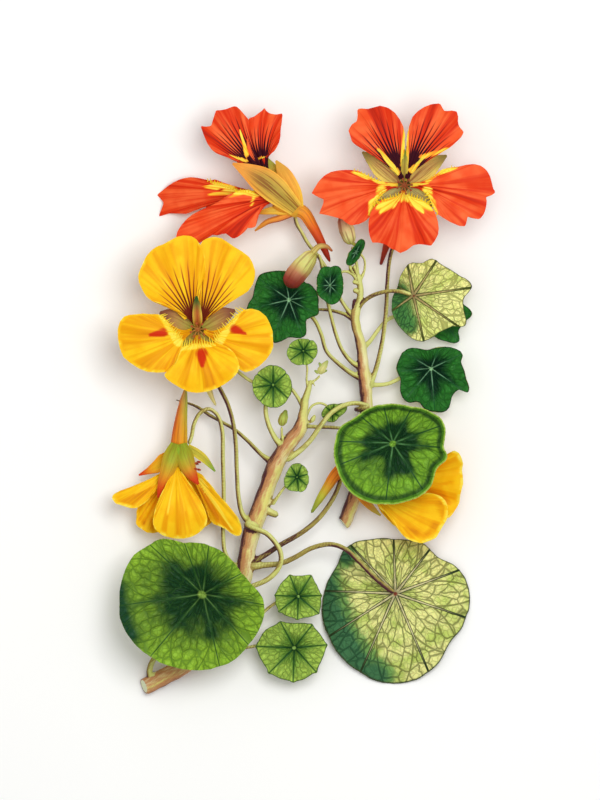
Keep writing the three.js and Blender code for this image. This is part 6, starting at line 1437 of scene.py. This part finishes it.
flower.petal("lower", pivot=(35.1, 70.8),
    line=[[35.2, 73.5, 22.2], [35.1, 69.4, 24.4], [35, 62, 26.6], [34.4, 51.5, 25]],
    margin=[(33, 71.5), (30, 71), (27, 70), (24.8, 68), (23.4, 65.6), (22.8, 62.5), (22.8, 60),
        (23.2, 57.6), (24.1, 55.3), (26.5, 55.3), (29, 54.6), (30.4, 53.3), (32.2, 52.7), (33.8, 51.6),
        (36.2, 52.6), (38.4, 54.4), (40.6, 54.8), (43, 54.5), (44.7, 54.2), (46, 55.9), (47.1, 58),
        (47.4, 60.2), (47, 63), (46, 65.8), (44.4, 68.2), (42, 70), (39.4, 70.9), (37, 71.5)],
    wave=0.4, deep=(1, 0.6, 0.3),
    golds=[((34, 71.4), (29, 70), 1.7), ((30.5, 69.6), (26, 67.4), 2.1), ((29.6, 68.5), (27, 65.8), 1.4),
        ((36.4, 71.4), (41.5, 69.6), 1.7), ((39, 69.4), (41.8, 66), 1.5), ((41.6, 69), (44.8, 66.6), 1.5)],
    lashes=[((25, 68.4), (33.4, 71.6), 10, 1.6, (125, 92)), ((37, 71.6), (44, 68.8), 9, 1.6, (88, 60))])

# ---------------------------------------------------------------- red hanging flower
# A flower that lies on its side on a long stalk, its back half turned up. Two of its soft petals stand
# out from the cup, and the lower ones hang to the left on their fringed claws.

flower = Flower("red_hanging_flower", red_silk, "red_petal", pleat=0.35, pleats=6)
sepals = [
    dict(line=[[-2.6, 67, 17], [-7.4, 71.4, 19.2], [-13, 76.2, 20.2], [-19, 80, 20.6], [-24.8, 83, 20.4]],
         half=[2.6, 3.8, 4.7, 4.4, 2.6, 0.3], cup=-0.12, middle="B0963C",
         edge=("FCCC4C", "FCC448", "F6A034", "F0902E"), tip="F4A040", stripe=1),
    dict(line=[[-1.6, 67.6, 15.6], [-3.2, 72.4, 17.4], [-5.6, 77.4, 18], [-9.6, 84, 17.8]],
         half=[1.6, 2.5, 2.7, 2.2, 0.3], cup=-0.12, middle="F2AC3C", edge=("FAD848", "F8B840", "EE7A30"),
         tip="D8A038", stripe=0.4),
    dict(line=[[-3.6, 65.6, 14.8], [-8.6, 63.8, 14.8], [-12.6, 62.6, 14.4], [-17, 59.4, 13.4]],
         half=[0.9, 1.1, 1, 0.8, 0.25], middle="EE9A3A", edge="A8502A", tip="E0983A", stripe=0),
    dict(line=[[-4.4, 70, 14.4], [-9, 77, 14.6], [-13, 84.4, 14.6]], half=[2.2, 3, 3.2, 2.4, 0.9],
         middle="E8A834", edge="F6CC3C", tip="A8A83C", stripe=0.3),
    dict(line=[[-4.4, 66.4, 15.4], [-10, 66.6, 15], [-16.4, 65.6, 13.4]], half=[1, 1.6, 1.4, 1, 0.3],
         middle="E8C048", edge="F0B838", tip="E09A30", stripe=0.2),
]
calyx(flower, sepals,
      cup=[[-0.6, 65.6, 13, 1.9], [-3, 67, 13.4, 3.2], [-6, 69.2, 14, 4.1], [-8.4, 71, 14.5, 4.3]],
      spur=[[-4, 67.4, 13.4, 2.7], [0, 65.8, 13.6, 2.3], [3.2, 61, 14, 1.9], [6.2, 55.4, 14.4, 1.5],
          [8.4, 50.6, 14.7, 0.9], [9.3, 48.4, 14.8, 0.3]],
      cup_tones=("D8A838", "E8A030", "E8982C"),
      spur_tones=("F0A838", "EE8A28", "D04A1A", "B02A10", "7A1A0C"),
      spur_far=("F0B840", "F0982C", "E0601E", "C0381A", "8A1A0C"))
stamens(flower, (-9, 71.4, 14.8), (-0.9, 0.43, 0.06), 5.2, "E8A858", "A8402A")
flower.petal("upper_left", pivot=(-18.4, 83.2),
    line=[[-9.4, 73.6, 15.6], [-18, 83.4, 17.2], [-23.5, 92, 18.8], [-29, 102, 18]],
    margin=[(-21.3, 83.8), (-24, 84.6), (-26.4, 85.8), (-28.4, 86), (-30.4, 86.6), (-32.2, 87.9),
        (-33.5, 89.8), (-34.6, 92.3), (-35.4, 94.4), (-36, 96.1), (-34.2, 95.8), (-32.3, 96.1), (-31.7, 98),
        (-31.1, 100), (-30.6, 101.6), (-28.8, 101.6), (-26.7, 102.1), (-25, 102.8), (-23.7, 103.1),
        (-22.2, 101.8), (-20.6, 100), (-19.3, 98.4), (-19.3, 96), (-19.6, 93.5), (-19.8, 90.5),
        (-19.6, 87.6), (-19, 85)],
    wave=0.5, deep=(1, 0.7, 0.4), guide=(0.57, 0.95),
    golds=[((-19.8, 86), (-22.2, 94.4), 0.7), ((-19.6, 83.8), (-26, 85.9), 0.5)])
flower.petal("upper_right", pivot=(-17.8, 83),
    line=[[-7.9, 73.8, 13.6], [-16.6, 82.8, 15.2], [-15, 91, 16.8], [-10.9, 102.4, 16]],
    margin=[(-18.8, 85), (-19.3, 88), (-19.6, 91), (-19.8, 94), (-19.6, 97), (-18.9, 98.9), (-17.4, 99.3),
        (-15.4, 100.8), (-14.3, 101.6), (-13.7, 102.4), (-12.8, 101.2), (-11.8, 100.5), (-9.7, 100.1),
        (-7.4, 100.5), (-7.5, 97.9), (-8, 95.4), (-8, 92.8), (-8.6, 90.3), (-9.7, 87.9), (-11.3, 86.6),
        (-13, 85.7), (-15, 85), (-16.4, 84)],
    wave=0.4, deep=(1, 0.7, 0.4), guide=(0.57, 0.94),
    golds=[((-19, 85.6), (-19.8, 91), 0.4), ((-17.2, 84), (-13.6, 85.4), 0.5)])
flower.petal("far_left", pivot=(-24, 73.4),
    line=[[-10.4, 71.2, 12.8], [-22, 73.6, 11], [-35, 73, 7], [-50.8, 69.6, 0.25]],
    margin=[(-27, 75), (-29.4, 76.3), (-31, 77.4), (-33.2, 76.9), (-34.8, 77.4), (-37.2, 77.9),
        (-39.8, 78.2), (-42.6, 77.6), (-45.4, 76.4), (-47.6, 75), (-49.6, 73.3), (-51.2, 72), (-50, 70.7),
        (-48.8, 69.2), (-49.5, 67.4), (-50.2, 65.6), (-50.6, 64.5), (-47.6, 65.6), (-44.4, 65.5),
        (-41, 65.4), (-38.4, 67), (-35.6, 69.2), (-33.4, 70.3), (-30.6, 71.3), (-27.8, 72.4)],
    wave=0.3, deep=(1, 0.9, 0.4),
    golds=[((-12, 71.5), (-25, 73.6), 1.4), ((-25, 74), (-31.5, 76.2), 1.2),
        ((-30, 74.8), (-34.6, 74.8), 0.9), ((-26, 73), (-33.5, 72), 0.9)],
    lashes=[((-24, 73.6), (-33.4, 76.8), 13, 1.5, (60, 100))])
flower.petal("lower", pivot=(-15.6, 70.6),
    line=[[-9.8, 69.8, 16], [-17, 70, 18], [-25, 65.2, 19.2], [-38.6, 55.2, 16.2]],
    margin=[(-16.2, 72.6), (-18.2, 73.4), (-20.6, 73.7), (-23, 73.3), (-25.4, 72.4), (-27.6, 71.1),
        (-29.4, 69.8), (-32.2, 68.3), (-35.4, 66.8), (-38.4, 65.4), (-40.8, 63.6), (-42.9, 61.2),
        (-44.2, 59), (-44.6, 57), (-42.6, 55.4), (-39.6, 54.6), (-36.4, 55.2), (-33.6, 57), (-32, 58.1),
        (-30.2, 57.8), (-28.4, 58.3), (-27, 58.5), (-25.8, 57.4), (-24.4, 56.6), (-22.6, 57.5),
        (-20.9, 58.8), (-19.6, 60.4), (-18, 60.4), (-16.8, 60.9), (-16.2, 62.7), (-15.7, 65.2),
        (-15.3, 67.6)],
    wave=0.5, deep=(1, 0.9, 0.4),
    golds=[((-16.6, 72.6), (-22.5, 73), 1.3), ((-22.5, 72.6), (-25.5, 71.4), 0.9),
        ((-17.4, 71.4), (-18.4, 67.8), 0.5)], lashes=[((-16.4, 72.8), (-24, 73.2), 9, 1.1, (80, 100))])
flower.petal("behind", pivot=(-14, 70.8),
    line=[[-10.8, 70.4, 11.4], [-17, 70.8, 9.6], [-26, 68.6, 6.2], [-34.4, 63.8, 3.8]],
    margin=[(-16.1, 68.3), (-20.2, 65), (-24.2, 62.6), (-28, 61.2), (-29.9, 61.3), (-32.5, 62.4),
        (-34.4, 63.8), (-34.5, 65.7), (-34, 67.9), (-33, 69.2), (-28.6, 71.9), (-22.2, 73.5), (-16.4, 73)],
    wave=0.3, deep=(0.8, 0.7, 0.3))

# ---------------------------------------------------------------- buds
# A bud is its closed cup of five sepals, a tube with five soft ribs. The bigger ones already have their
# spur. The yellow shoot's tip carries folded young leaves.


BUD_MESH, EXTRA_MESH = (30, 0.3), (14, 0.3)  # sides and step
BUD_RIBS = 0.07


def bud(name, body, extras=(), tones=("B8B84A", "9AAE44"), far_side=None, extra_tones=("A8B048", "C8B85A"),
        stripe=0.3):
    """One closed bud with its spur, or its folded leaves."""
    bm = bmesh.new()
    layers = tinted(bm)
    tube(bm, body, *BUD_MESH, ribs=BUD_RIBS, paint=painter(bm, layers, tones, stripe, far_side))
    for route in extras:
        tube(bm, route, *EXTRA_MESH, paint=painter(bm, layers, extra_tones, stripe))
    piece = settled(bm, name + "_skin", fleshy_cup)
    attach(piece, "root")
    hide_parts(name)


bud("red_leaning_bud",
    [[4, 51.7, 21, 1.5], [2.4, 50.2, 21.2, 2.7], [-0.2, 47, 21.4, 3.5], [-2.8, 43.8, 21.3, 3.6],
        [-4.6, 41.2, 21.1, 3], [-5.6, 39.7, 21, 1.5]],
    extras=[[[3, 51.6, 21.6, 1.3], [5.4, 53.9, 22, 1], [8, 54, 22, 0.8], [10.2, 52.2, 21.8, 0.35]]],
    tones=("D8C060", "E4DC90", "E0D880", "C88C60", "984030", "7A2A20"),
    far_side=("B8B850", "C4C868", "C8C870", "9A5040", "742A22", "5A1A16"),
    extra_tones=("D0C46C", "C8A858", "B0502E"), stripe=0.7)
bud("red_upright_bud",
    [[16.8, 54.6, 16, 1], [16.2, 56.4, 16, 2.2], [15.2, 59.6, 16, 2.7], [14.2, 63, 16, 2.3],
        [13.5, 65.8, 16, 0.8]],
    extras=[[[16.6, 56, 15.6, 0.8], [18, 54.6, 15, 0.6], [19.4, 54.8, 14.6, 0.3]]],
    tones=("B8BC58", "E0DA94", "E4D896", "D8B084", "B88A68"),
    far_side=("A8AC50", "D8D088", "C8A074", "A86A58", "7A3438"), stripe=0.9)
bud("yellow_small_bud",
    [[-7.6, -9, 14.3, 0.7], [-7.4, -7.4, 14.5, 1.6], [-6.8, -5.4, 14.7, 1.5], [-6, -3.2, 14.8, 0.4]],
    tones=("A8B448", "B4C05A", "7A9A3A"), stripe=0.8)
bud("yellow_bud_behind_petal",
    [[-24.3, 11.5, 14, 0.8], [-25.4, 13.2, 14.2, 1.8], [-26.8, 15.4, 14.5, 1.8], [-28, 17.4, 14.7, 0.6]])
bud("yellow_bud_behind_leaf",
    [[15, -9.9, 10.7, 0.7], [16, -10.2, 11.6, 1.3], [16.9, -10.5, 12.9, 1.3], [17.4, -10.7, 14.2, 0.4]])
bud("yellow_tip_leaves",
    [[5.5, 9.2, 17.2, 0.7], [6.2, 10.6, 17.4, 1.4], [7.4, 12.4, 17.6, 1.1], [8.6, 14.1, 17.8, 0.3]],
    extras=[[[5.4, 9.6, 17.2, 0.8], [3.8, 10.6, 17.6, 0.3]], [[6.4, 10, 17.2, 0.8], [8.4, 10.6, 17.5, 0.3]],
        [[6.6, 11.4, 17.6, 0.8], [5.4, 13.4, 18, 0.3]]],
    tones=("C8C870", "D8D48A", "A8BC60"), extra_tones=("C0C468", "8AA84A"))
